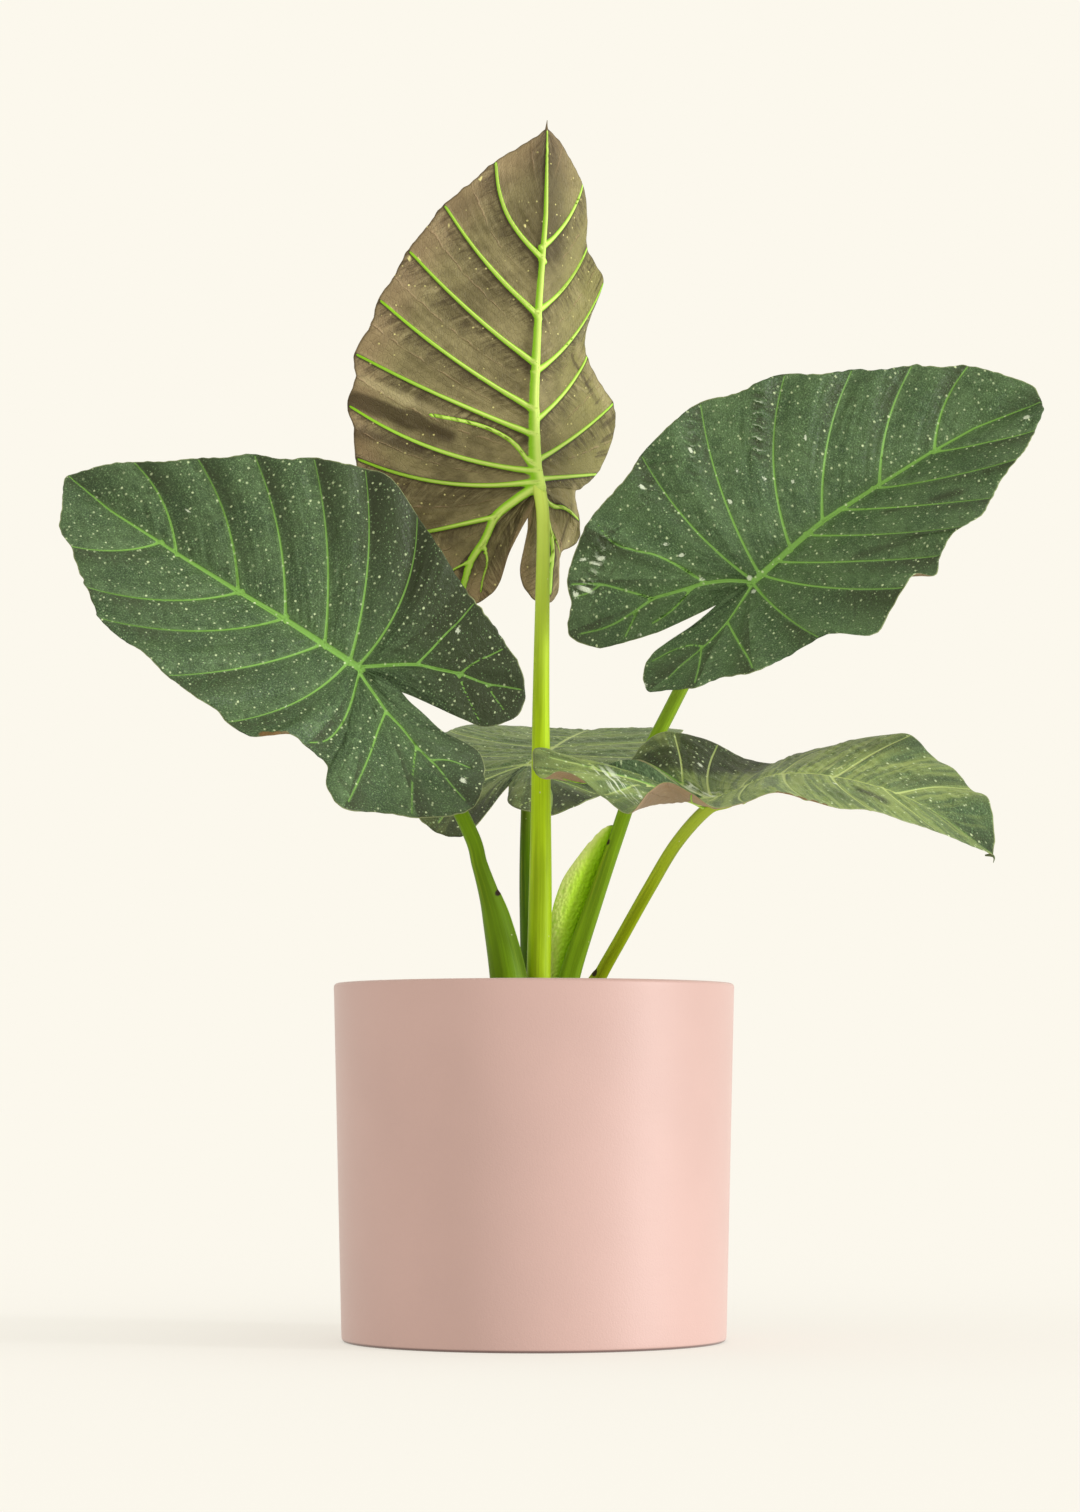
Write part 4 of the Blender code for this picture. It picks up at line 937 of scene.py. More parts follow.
def upper_skin(look, name):
    """Green with a fine mottling, with painted shade behind each vein, in the creases, in the folds and
    across the plane, and painted light on the far side of each panel and on the ridges; with light green
    veins, pale flecks, fine fibres along the rays and fine creases aslant to them; painted top light,
    streaked, where it faces up. Scars, painted glints, glossy spots with painted highlight streaks, and
    dried spots lie on top."""
    f = Finish("leaf top " + name, look, Specular_IOR_Level=0.4)
    # painted top light, as a share: more where the blade faces up
    painted_top_light = TOP_LIGHT_PAINT[name] * f.soft(f.value("sky"), 0.45, 0.95)
    cone, rim, mark, panel, fold = map(f.value, ("cone", "rim", "mark", "panel", "fold"))
    grain, flat, pucker = f.vector("grain"), f.vector("flat"), f.vector("pucker")
    reach = f.part(grain, "Y")
    vein = f.soft(cone, 0.0, 0.35)
    beside = f.soft(cone, -5.0, 0.3)
    patch = f.noise(f.scaled(flat, 0.03), detail=2)
    cloud = f.noise(f.scaled(flat, 0.16), detail=4)
    fibre = f.noise(f.scaled(grain, 0.55, 0.035, 0.0), detail=3)
    streak = f.noise(f.scaled(grain, 0.17, 0.014, 0.0), detail=4)
    crease = f.noise(slanted(f, grain, 0.05, 0.22), detail=3, distortion=0.4)
    net = f.cells(f.scaled(grain, 0.45, 0.30, 0.0), feature="DISTANCE_TO_EDGE", dimensions="2D")
    fine = f.noise(f.scaled(flat, 0.9), detail=3)
    grit = f.noise(f.scaled(flat, 1.5), detail=2)
    dark, light = (times(TONE[name], tone) for tone in (look.leaf_dark, look.leaf_light))
    # painted shade on the stalk side of each vein
    painted_shade_behind_vein = f.soft(panel, 0.5, 0.0) * f.soft(cone, -0.1, -1.2) * f.soft(rim, 90.0, 15.0) * (1 - painted_top_light)
    # painted shade that darkens the blade across its plane
    along, across, start = SHADE[name]
    far = f.part(flat, "X") * along + f.part(flat, "Y") * across + start
    # pale: the colour of the painted light on the ridges
    pale = f.blend(f.soft(painted_top_light, 0.0, 0.5), "leaf_fine", "vein_top_lit")
    wave = f.math("SINE", f.part(pucker, "X") * 0.85 + 9.0 * cloud)
    felt = f.part(pucker, "Y")
    glint = f.soft(wave + 1.2 * (cloud - 0.5), 0.8, 1.1) * f.soft(felt, 0.5, 0.95)
    veins = f.blend(fine, "leaf_vein", "leaf_midrib")
    veins = f.blend(f.soft(painted_top_light, 0.0, 0.5), veins, "vein_top_lit")
    warp = f.node("ShaderNodeTexNoise", {}, {"Vector": f.scaled(flat, 1.1), "Detail": 1.0}, "Color")
    spot = f.node("ShaderNodeVectorMath", {"operation": "MULTIPLY_ADD"},
                  {0: warp, 1: (1.5, 1.5, 0.0), 2: flat})
    fleck = flecks(f, spot, 5.0, 0.13, 0.35)
    dust = flecks(f, spot, 2.2, 0.17, 0.1)
    # the glossy spots: lower roughness and a painted highlight in streaks
    gloss_and_highlight = f.noise(aslant(f, flat, 0.22, 0.02), detail=2)
    gloss_and_highlight = f.soft(gloss_and_highlight + 0.12 * (fine - 0.5), 0.5, 0.62) * f.soft(f.value("shine"), 0.0, 0.6)
    burn = f.soft(f.value("burn") + 0.3 * (fine - 0.5), 0.2, 0.5)
    green = f.coats(
        f.blend(f.soft(patch + 0.5 * cloud - 0.25, 0.3, 0.7), dark, light),
        (f.soft(fibre, 0.5, 0.75) * 0.2, "leaf_fine"),
        (f.soft(fine, 0.47, 0.62) * 0.55, "leaf_fine"),
        (f.soft(grit, 0.50, 0.64) * 0.5, "leaf_shade"),
        # painted shade in the creases, less under the painted top light
        (f.soft(crease, 0.48, 0.25) * (0.45 - 0.35 * painted_top_light), "leaf_shade"),
        (f.soft(net, 0.07, 0.0) * 0.12, "leaf_vein"),
        (beside * beside * 0.10, "leaf_vein"),
        # painted shade behind each vein, then painted light on the far side of each panel
        (painted_shade_behind_vein * f.soft(cloud + patch, 0.70, 1.10) * 0.85, "leaf_shade"),
        (f.soft(panel, 0.62, 0.95) * f.soft(cloud, 0.4, 0.65) * 0.3, "leaf_fine"),
        # painted shade across the plane
        (f.soft(far, 0.0, 1.0) * 0.85, "leaf_shade"),
        # painted top light where the blade faces up, streaked, with darker streaks between
        (painted_top_light * 0.35, "painted_top_light"),
        (f.soft(streak + 0.25 * fibre + 0.15 * fine, 0.62, 0.78) * painted_top_light * 0.9, "painted_top_light"),
        (f.soft(streak, 0.46, 0.34) * painted_top_light * (0.55 if name == "back" else 0.3), "leaf_shade"),
        # painted shade in the folds, then painted light on the ridges
        (f.soft(fold + 0.3 * (cloud - 0.5), 0.05, 1.0) * 0.9, "leaf_shade"),
        (f.soft(fold, -0.1, -1.0) * f.soft(fibre + 0.5 * cloud, 0.6, 0.95) * 0.8, pale),
        # painted shadow in the puckers' troughs, then painted glints on their crests
        (f.soft(wave, 0.0, -0.8) * felt * 0.75, "leaf_shade"),
        (glint * 0.6, "scar_and_highlight"),
        (vein * (0.95 - 0.35 * f.soft(reach, 30.0, 110.0)), veins),
        (f.soft(rim, 0.9, 0.2) * f.soft(patch, 0.40, 0.55) * 0.8, "leaf_edge"),
        (fleck * f.soft(cloud + 0.5 * fine, 0.45, 0.85), "fleck"),
        (dust * f.soft(cloud, 0.36, 0.56) * 0.7, "dust"),
        # scars, which on the right blade are mostly painted glints; then the painted highlight streaks
        (f.soft(mark + 0.9 * fine, 0.55, 0.85) * 0.85 * (mark > 0.01), "scar_and_highlight"),
        (gloss_and_highlight * 0.8, "scar_and_highlight"),
        (burn, "burn"))
    height = (crease * 0.55 + fibre * 0.30 + f.soft(net, 0.0, 0.12) * 0.12 + fine * 0.12) * (1 - vein * 0.8)
    height = height + vein * 0.25 + wave * felt * 0.6
    rough = 0.46 + 0.16 * cloud - 0.2 * gloss_and_highlight
    return f.done(Base_Color=green, Roughness=rough, Normal=f.relief(height, 0.0013))


def slanted(f, grain, coarse, close):
    """Grain turned so that its lines leave each vein aslant, toward the margin: coarse along those lines
    and close across them."""
    x, y = f.part(grain, "X"), f.part(grain, "Y")
    return f.node("ShaderNodeCombineXYZ", {}, {"X": (x + 0.9 * y) * coarse, "Y": (y - 0.9 * x) * close})


def aslant(f, flat, close, coarse):
    """The blade's plane turned by an eighth: close across the streaks and coarse along them."""
    x, y = f.part(flat, "X"), f.part(flat, "Y")
    return f.node("ShaderNodeCombineXYZ", {}, {"X": (x + y) * close, "Y": (x - y) * coarse})


def flecks(f, flat, cell, radius, share):
    """Small round flecks of mixed strength, one in some of the cells: up to 1 inside a fleck."""
    place = f.scaled(flat, 1 / cell)
    spot = f.cells(place, dimensions="2D")
    draw = f.cells(place, out="Color", dimensions="2D")
    lot = f.part(draw, "X")
    size = radius * f.soft(lot, share, 1.0)
    return f.soft(spot - size, 0.06, -0.02) * (lot > share) * (0.4 + 0.6 * f.part(draw, "Y"))


def lower_skin(look, name):
    """Brown turning olive on one side, with raised lime ribs. Below each rib lie creases that leave it
    aslant, with painted shade in them, painted light on their crests and a painted shadow along the rib;
    they end at a thin pale line midway, and the skin is smooth from there to the next rib. Painted shade
    also lies in the ripples near the margin and in the folds, and painted light on the ridges."""
    f = Finish("leaf underside " + name, look, Specular_IOR_Level=0.3)
    cone, rim, mark, panel, fold = map(f.value, ("cone", "rim", "mark", "panel", "fold"))
    grain, flat = f.vector("grain"), f.vector("flat")
    vein = f.soft(cone, 0.0, 0.15)
    ridge = f.soft(cone, 0.15, 0.8)
    patch = f.noise(f.scaled(flat, 0.028), detail=2)
    cloud = f.noise(f.scaled(flat, 0.12), detail=4)
    side = f.soft(f.part(flat, "Y"), -5.0, 55.0)
    crease = f.noise(slanted(f, grain, 0.035, 0.24), detail=3, distortion=0.3)
    hair = f.math("ABSOLUTE", f.noise(slanted(f, grain, 0.028, 0.34), detail=2, distortion=0.25) - 0.5)
    fibre = f.noise(f.scaled(grain, 0.42, 0.03, 0.0), detail=4)
    reach = f.part(grain, "Y")
    below = f.soft(panel, 0.62, 0.1)
    ruffle = f.noise(f.scaled(grain, 0.32, 0.02, 0.0), detail=2) * f.soft(rim, 26.0, 12.0) * side
    net = f.cells(f.scaled(grain, 0.30, 0.36, 0.0), feature="DISTANCE_TO_EDGE", dimensions="2D")
    fine = f.noise(f.scaled(flat, 1.1), detail=2)
    middle = f.math("ABSOLUTE", panel + 0.16 * cloud - 0.58)
    middle = f.soft(middle, 0.028, 0.0) * f.soft(reach, 12.0, 35.0) * f.soft(cloud, 0.35, 0.6)
    brown = f.coats(
        f.blend(f.soft(patch + 0.6 * cloud - 0.3, 0.3, 0.7), "under_dark", "under_light"),
        (side * 0.75, "under_olive"),
        (f.soft(rim, 30.0, 4.0) * (1 - side) * 0.5, "under_rose"),
        # painted shade below each rib and in its creases and their fine lines, then painted light on the
        # crests
        (below * 0.3, "under_shade_and_lines"),
        (f.soft(crease, 0.50, 0.36) * (0.06 + 0.45 * below), "under_shade_and_lines"),
        (f.soft(hair, 0.035, 0.0) * (0.12 + 0.5 * below), "under_shade_and_lines"),
        (f.soft(crease, 0.54, 0.68) * (0.08 + 0.32 * below), "under_lit_and_fibre"),
        (f.soft(fibre, 0.55, 0.75) * 0.18, "under_lit_and_fibre"),
        # painted shade in the ripples near the margin and in the folds, then painted light on the ridges
        (f.soft(ruffle, 0.50, 0.66) * 0.6, "under_shade_and_lines"),
        (f.soft(fold + 0.2 * (cloud - 0.5), 0.05, 0.8) * 0.8, "under_shade_and_lines"),
        (f.soft(fold, -0.1, -1.0) * 0.7, "under_lit_and_fibre"),
        (middle * 0.5, "under_rose"),
        # painted shadow along the lower side of each rib
        (f.soft(cone, -1.5, -0.2) * f.soft(panel, 0.5, 0.1) * 0.8, "under_shade_and_lines"),
        (f.soft(net, 0.06, 0.0) * 0.15, "under_shade_and_lines"),
        (f.soft(rim, 1.4, 0.2) * 0.5, "under_shade_and_lines"),
        (flecks(f, flat, 6.5, 0.07, 0.75), "under_dot"),
        (f.soft(mark, 0.15, 0.5), "under_dot"))
    lime = f.blend(ridge * f.soft(reach, 120.0, 30.0), "rib_edge", "rib")
    if name != "upright":
        brown = f.blend(0.75 if name == "low_right" else 0.35, brown, "under_rose")
    colour = f.blend(vein, brown, lime)
    height = crease * (0.1 + 0.6 * below) + fibre * 0.2 + f.soft(net, 0.0, 0.15) * 0.08 + fine * 0.05
    height = (height + middle * 0.3 - ruffle * 0.8) * (1 - vein)
    return f.done(Base_Color=colour, Roughness=0.5 + 0.12 * cloud, Normal=f.relief(height, 0.0020))


def stalk_skin(name, tint, look):
    """Smooth green with fine long streaks, with painted shade on the sides that face +X and -X, paler toward
    the leaf, most of all on the upright stalk, with a pale crest on each flange, a few pale dots and dark
    dry tips."""
    f = Finish("stalk " + name, look, Specular_IOR_Level=0.12)
    grain = f.vector("grain")
    streak = f.noise(f.scaled(grain, 0.9, 0.9, 0.012), detail=4)
    band = f.noise(f.scaled(grain, 0.10, 0.10, 0.012), detail=2)
    dot = f.cells(f.scaled(grain, 0.16, 0.16, 0.11))
    lot = f.part(f.cells(f.scaled(grain, 0.16, 0.16, 0.11), out="Color"), "X")
    dark = times(0.55, tint)
    pale = tuple(min(1.0, 1.25 * c + 0.05) for c in tint)
    top = f.soft(f.value("rise"), 0.50, 0.93) * (0.95 if name == "upright" else 0.35)
    green = f.coats(
        f.blend(f.soft(streak, 0.35, 0.7), times(0.85, tint), times(1.1, tint)),
        (f.soft(band, 0.5, 0.3) * 0.5, dark),
        (top, "stalk_top"),
        (f.soft(streak, 0.56, 0.72) * 0.25, "stalk_streak"),
        # painted shade on the sides that face +X and -X
        (f.soft(f.part(grain, "X"), 2.6, 5.0) * 0.5, dark),
        (f.soft(f.part(grain, "X"), -3.8, -5.0) * 0.35, dark),
        (f.soft(f.value("crest"), 0.3, 1.0) * 0.6, pale),
        (f.soft(dot, 0.075, 0.055) * (lot > 0.55) * 0.8, "stalk_dot"),
        (f.soft(f.value("dry"), 0.35, 0.7), "dry"))
    return f.done(Base_Color=green, Roughness=0.42 + 0.12 * band, Normal=f.relief(streak, 0.0004))


def sheath_skin(look):
    """Bright green, pale yellow toward the free edge, cobbled with small cells, brown at the tip."""
    f = Finish("sheath", look, Specular_IOR_Level=0.15)
    grain, wide = f.vector("grain"), f.value("wide")
    cloud = f.noise(f.scaled(grain, 0.09, 0.05, 0.0), detail=3)
    cobble = f.cells(f.scaled(grain, 0.62, 0.40, 0.0), feature="SMOOTH_F1", dimensions="2D")
    green = f.coats(
        f.blend(f.soft(wide + 0.35 * cloud, 0.45, 1.05), "sheath_deep", "sheath_bright"),
        (f.soft(wide, 0.55, 1.0), "sheath_edge"),
        (f.soft(cobble, 0.35, 0.75) * 0.35, "sheath_deep"),
        (f.value("dry"), "dry"))
    return f.done(Base_Color=green, Roughness=0.34 + 0.1 * cloud, Normal=f.relief(1 - cobble, 0.0006))


def pot_glaze(look):
    """Matt pink fired clay with a very fine tooth and a faint cloudiness, and a painted contact shadow at
    its very foot.
    """
    f = Finish("matt pink clay", look, Specular_IOR_Level=0.5, Roughness=0.5, Sheen_Weight=0.25,
               Sheen_Roughness=0.4)
    place = f.place()
    cloud = f.noise(place, 9.0, 3)
    tooth = f.noise(place, 900.0, 3)
    drag = f.noise(f.scaled(place, 12.0, 12.0, 140.0), 1.0, 2)
    tone = tuple(look.colour)
    clay = f.coats(
        f.blend(f.soft(cloud, 0.3, 0.7), times(0.97, tone), tuple(min(1, 1.025 * c) for c in tone)),
        (f.soft(tooth, 0.62, 0.8) * 0.25, times(0.88, tone)),
        # painted contact shadow along the very foot
        (f.soft(f.part(place, "Z"), 0.0022, 0.0010) * 0.8, "foot_contact_shadow"))
    return f.done(Base_Color=clay, Normal=f.relief(tooth * 0.7 + drag * 0.3, 0.00018))


def soil_crumb(look, name, pale):
    """Dark moist earth, mottled from black to brown, lighter on dry crumbs."""
    f = Finish(name, look, Specular_IOR_Level=0.3)
    place = f.place()
    lump = f.noise(place, 160.0, 5, 0.7)
    bits = f.cells(place, 330.0, out="Color")
    tone = f.coats(
        f.blend(f.soft(lump, 0.35, 0.7), "dark", "light"),
        (f.soft(f.part(bits, "X"), 0.75, 0.95) * 0.5, pale))
    return f.done(Base_Color=tone, Roughness=0.8 + 0.15 * lump, Normal=f.relief(lump, 0.003))


def crown_fibre(look):
    """Brown fibres that run outward from the stalks, greener near them."""
    f = Finish("crown fibre", look, Specular_IOR_Level=0.3)
    grain, green = f.vector("grain"), f.value("green")
    fibre = f.noise(f.scaled(grain, 1.0, 0.08, 0.0), detail=5, roughness=0.7)
    cloud = f.noise(f.place(), 60.0, 3)
    tone = f.coats(
        f.blend(f.soft(fibre, 0.35, 0.7), "crown_dark", "crown_light"),
        (green * (0.5 + 0.5 * cloud), "crown_green"))
    return f.done(Base_Color=tone, Roughness=0.75 + 0.1 * cloud, Normal=f.relief(fibre, 0.0016))


def sound(points, faces):
    """Merges points that lie on one another, and leaves out triangles that this makes flat and pairs of
    triangles that lie back to back. Returns which points and which triangles stay, and the new triangles."""
    spots = (points * MM).astype(np.float32)
    _, first, same = np.unique(spots, axis=0, return_index=True, return_inverse=True)
    faces = first[same.reshape(-1)][faces]
    _, group, count = np.unique(np.sort(faces, axis=1), axis=0, return_inverse=True, return_counts=True)
    keep = (faces != np.roll(faces, 1, axis=1)).all(axis=1) & (count[group.reshape(-1)] == 1)
    used, faces = np.unique(faces[keep], return_inverse=True)
    return used, keep, faces.reshape(-1, 3)


def add_piece(name, nodes, points, faces, materials, values=None, vectors=None, second=None):
    """Puts points in millimetres and triangles into a mesh object that rides with the part, replaces the
    CAD nodes and carries the values and vectors as attributes. Faces marked in second get material 1."""
    points = np.asarray(points, float)
    used, keep, faces = sound(points, np.asarray(faces))
    points = points[used]
    mesh = bpy.data.meshes.new(name)
    mesh.from_pydata((points * MM).tolist(), [], faces.tolist())
    mesh.polygons.foreach_set("use_smooth", np.ones(len(faces), bool))
    for material in materials:
        mesh.materials.append(material)
    if second is not None:
        mesh.polygons.foreach_set("material_index", second[keep].astype(np.int32))
    for key, value in (values or {}).items():
        mesh.attributes.new(key, "FLOAT", "POINT").data.foreach_set(
            "value", np.ascontiguousarray(np.asarray(value)[used], np.float32))
    for key, value in (vectors or {}).items():
        flow = np.ascontiguousarray(np.asarray(value)[used], np.float32).reshape(-1)
        mesh.attributes.new(key, "FLOAT_VECTOR", "POINT").data.foreach_set("vector", flow)
    mesh.update()
    if mesh.validate():
        raise RuntimeError(name + " has broken faces")
    piece = bpy.data.objects.new(name, mesh)
    bpy.context.scene.collection.objects.link(piece)
    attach(piece, "root")
    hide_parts(*nodes)


def number(default, name, description, **more):
    return bpy.props.FloatProperty(name=name, description=description, default=default, **more)


def length(default, name, description):
    return number(default, name, description, min=0.0, unit="LENGTH", precision=4)


def colour(parts, name, description):
    return bpy.props.FloatVectorProperty(name=name, description=description, default=srgb(*parts), size=3,
                                         min=0.0, max=1.0, subtype="COLOR")


class PotSizes(bpy.types.PropertyGroup):
    rim_radius: length(0.130, "Rim radius", "Outer radius of the pot at its rim")
    foot_radius: length(0.124, "Foot radius", "Outer radius of the pot at its foot")
    height: length(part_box("pot")[1].z, "Height", "Height of the pot, as in the packed part")
    wall: length(0.0075, "Wall", "Thickness of the pot's wall")
    floor: length(0.012, "Floor", "Thickness of the pot's floor")
    rim_round: length(0.0025, "Rim round", "Radius of the rounding on the rim")
    foot_round: length(0.003, "Foot round", "Radius of the rounding round the foot")
    colour: colour((196, 163, 156), "Clay", "Colour of the matt clay")
    # colour of the painted contact shadow at the pot's very foot
    foot_contact_shadow: colour((84, 60, 56), "Foot line", "Colour of the pot's very foot")


class SoilLook(bpy.types.PropertyGroup):
    top: length(0.198, "Level", "Height of the soil in the pot")
    relief: length(0.0022, "Relief", "Height of the soil's rolling relief")
    crumbs: bpy.props.IntProperty(name="Crumbs", description="Number of loose crumbs on the soil",
                                  default=520, min=0)
    dark: colour((34, 25, 18), "Moist", "Colour of the moist earth")
    light: colour((84, 62, 44), "Dry", "Colour of the drier earth")
    crown_dark: colour((62, 46, 28), "Fibre dark", "Darker colour of the crown's fibres")
    crown_light: colour((138, 112, 72), "Fibre light", "Lighter colour of the crown's fibres")
    crown_green: colour((96, 112, 40), "Fibre green", "Colour of the crown close to the stalks")


class LeafLook(bpy.types.PropertyGroup):
    thickness: length(0.0010, "Thickness", "Thickness of the blade between its veins")
    rib_depth: number(0.95, "Rib depth", "How far a side rib stands out below, as a share of its half-width",
                      min=0.0, subtype="FACTOR")
    creasing: length(0.00045, "Creasing", "Height of the fine creases across the rays")
    quilting: length(0.0013, "Quilting", "How far the blade puffs up between its veins")
    sides: bpy.props.IntProperty(name="Stalk sides", description="Points round each stalk", default=40,
                                 min=8)
    # also the colour of the painted light on the far side of each panel and on the ridges
    leaf_fine: colour((106, 134, 88), "Leaf mottle", "Lighter green of the fine mottling")
    leaf_shade: colour((42, 52, 20), "Leaf shade", "Olive green of the shaded parts")
    under_rose: colour((172, 146, 112), "Underside tan", "Tan of the undersides near the margin")
    under_dot: colour((222, 214, 140), "Underside dots", "Colour of the small dots below")
    sheath_thickness: length(0.0014, "Sheath", "Thickness of the sheath")
    leaf_dark: colour((48, 74, 38), "Leaf dark", "Darker green of the upper side")
    leaf_light: colour((70, 96, 54), "Leaf light", "Lighter green of the upper side")
    leaf_vein: colour((112, 160, 66), "Leaf vein", "Green of the side veins on the upper side")
    leaf_midrib: colour((124, 174, 72), "Leaf midrib", "Green of the midrib on the upper side")
    leaf_edge: colour((150, 160, 108), "Leaf edge", "Colour of the thin margin")
    fleck: colour((206, 222, 172), "Flecks", "Colour of the small pale flecks")
    dust: colour((140, 178, 118), "Fine dots", "Colour of the finest dots between the flecks")
    # colour of the painted top light on the blades that face up
    painted_top_light: colour((148, 166, 88), "Bloom", "Pale bloom on the leaves that face up")
    # colour of the veins under the painted top light
    vein_top_lit: colour((178, 194, 116), "Pale vein", "Colour of the veins on the leaves that face up")
    burn: colour((112, 84, 40), "Dried edge", "Brown of the dried bits of the margin")
    # colour of the scars, the painted glints and the painted highlight streaks
    scar_and_highlight: colour((214, 224, 198), "Scars", "Colour of the small scars and glossy streaks")
    under_dark: colour((106, 97, 62), "Underside dark", "Darker brown of the underside")
    under_light: colour((142, 132, 90), "Underside light", "Lighter brown of the underside")
    under_olive: colour((140, 136, 78), "Underside olive", "Olive tint toward one side")
    # colour of the painted shade in the underside's creases, and of its dark lines
    under_shade_and_lines: colour((62, 50, 26), "Underside crease", "Colour in the creases of the underside")
    # colour of the painted light on the underside's crests, and of its pale fibres
    under_lit_and_fibre: colour((176, 164, 120), "Underside pale", "Colour on the crests of the underside")
    rib: colour((204, 232, 112), "Rib", "Lime of the raised ribs")
    rib_edge: colour((136, 196, 16), "Rib edge", "Green at the foot of the ribs")
    stalk_dot: colour((206, 214, 150), "Stalk dots", "Pale dots on the stalks")
    stalk_top: colour((206, 228, 106), "Stalk top", "Pale green of the upright stalk below its leaf")
    stalk_streak: colour((176, 160, 44), "Stalk streaks", "Ochre of the fine streaks on the stalks")
    dry: colour((52, 36, 28), "Dry tips", "Brown of the dried tips")
    sheath_deep: colour((174, 232, 28), "Sheath deep", "Deep green of the sheath")
    sheath_bright: colour((212, 246, 88), "Sheath bright", "Bright green of the sheath")
    sheath_edge: colour((230, 244, 150), "Sheath edge", "Pale edge of the sheath")
    stalk_upright: colour((178, 212, 24), "Upright stalk", "Green of the upright leaf's stalk")
    stalk_left: colour((116, 156, 14), "Left stalk", "Green of the left leaf's stalk")
    stalk_right: colour((124, 162, 18), "Right stalk", "Green of the right leaf's stalk")
    stalk_low_right: colour((160, 184, 24), "Low stalk", "Green of the low right leaf's stalk")
    stalk_back: colour((78, 114, 0), "Back stalk", "Green of the back leaf's stalk")


class StageLook(bpy.types.PropertyGroup):
    backdrop: colour((252, 248, 237), "Backdrop", "Colour of the floor and the backdrop as seen")
    glow: number(0.5, "Floor glow", "Share of the floor's brightness that is its own light, which keeps its "
                 "shadows faint", min=0.0, max=1.0)
    side: number(2.2, "Side light", "Strength of the soft light from the right", min=0.0)
    side_height: number(math.radians(6), "Side light height",
                        "How far the side light stands above the floor", subtype="ANGLE")
    top: number(0.3, "Top light", "Strength of the soft light from above", min=0.0)
    top_height: number(math.radians(62), "Top light height", "How far the top light stands above the floor",
                       subtype="ANGLE")
    heading: number(math.radians(70), "Light heading", "Where both lights stand, turned from straight in "
                    "front toward the right", subtype="ANGLE")


class ALOCASIA_OT_pot(bpy.types.Operator):
    """Add the round matt pot"""
    bl_idname = "alocasia.pot"
    bl_label = "Pot"

    def execute(self, context):
        look = context.scene.alocasia_pot
        rim, foot, tall = look.rim_radius / MM, look.foot_radius / MM, look.height / MM
        wall, floor, lip, base = look.wall / MM, look.floor / MM, look.rim_round / MM, look.foot_round / MM
        slant = (rim - foot) / tall
        outer = [(foot + slant * z, z) for z in np.linspace(base + 4, tall - lip - 4, 24)]
        inner = [(foot + slant * z - wall, z) for z in np.linspace(tall - lip - 3, floor + 12, 10)]
        profile = [(0, 0), (foot - 16, 0), (foot - 12, 0), *quarter((foot - base, base), base, -90), *outer,
                   *quarter((rim - lip, tall - lip), lip, 0),
                   *quarter((rim - wall + lip, tall - lip), lip, 90),
                   *inner, (foot - wall, floor + 8), (foot - wall - 8, floor), (0, floor)]
        points, faces = revolved(profile, sides=256)
        add_piece("pot_shell", ["pot"], points, faces, [pot_glaze(look)])
        return {"FINISHED"}


class ALOCASIA_OT_soil(bpy.types.Operator):
    """Add the potting soil with its loose crumbs"""
    bl_idname = "alocasia.soil"
    bl_label = "Soil"

    def execute(self, context):
        look, pot = context.scene.alocasia_soil, context.scene.alocasia_pot
        reach = pot.foot_radius / MM - pot.wall / MM + 4.8
        x, y, faces = disc(reach, rings=72, sides=200)
        top = look.top / MM

        def level(x, y):
            return top + look.relief / MM * (0.8 * swell(x, y, 38, 1) + 0.5 * swell(x, y, 13, 2)
                                             + 0.35 * swell(x, y, 5, 3) + 0.2 * swell(x, y, 2.5, 4))

        points, solid = slab(x, y, level(x, y), top - SOIL_DEPTH, faces)
        add_piece("soil_bed", ["soil"], points, solid,
                  [soil_crumb(look, "moist soil", srgb(96, 78, 58))])
        draw = np.random.default_rng(8)
        count = look.crumbs
        ball, ball_faces = lump()
        r = np.sqrt(draw.uniform((CRUMBS_FROM / reach) ** 2, 0.985 ** 2, count)) * reach
        turn = draw.uniform(0, 2 * math.pi, count)
        size = draw.uniform(0.9, 2.9, count) ** 1.25
        spin = draw.uniform(0, 2 * math.pi, count)
        centre = np.stack([r * np.cos(turn), r * np.sin(turn)], -1)
        stretch = draw.uniform(0.65, 1.3, (count, 1, 3))
        rough = draw.uniform(0.78, 1.2, (count, len(ball), 1))
        shape = ball[None] * rough * stretch * size[:, None, None]
        c, s = np.cos(spin)[:, None], np.sin(spin)[:, None]
        shape = np.stack([c * shape[..., 0] - s * shape[..., 1], s * shape[..., 0] + c * shape[..., 1],
                          0.8 * shape[..., 2]], -1)
        inside = np.minimum(1, (reach - 1) / np.maximum(np.hypot(*centre.T) + 1.3 * size, 1e-6))[:, None]
        centre = centre * inside
        shape[..., :2] += centre[:, None]
        shape[..., 2] += (level(*centre.T) + 0.25 * size)[:, None]
        many = (ball_faces[None] + len(ball) * np.arange(count)[:, None, None]).reshape(-1, 3)
        add_piece("soil_crumbs", ["soil"], shape.reshape(-1, 3), many,
                  [soil_crumb(look, "soil crumb", srgb(126, 100, 70))])
        return {"FINISHED"}


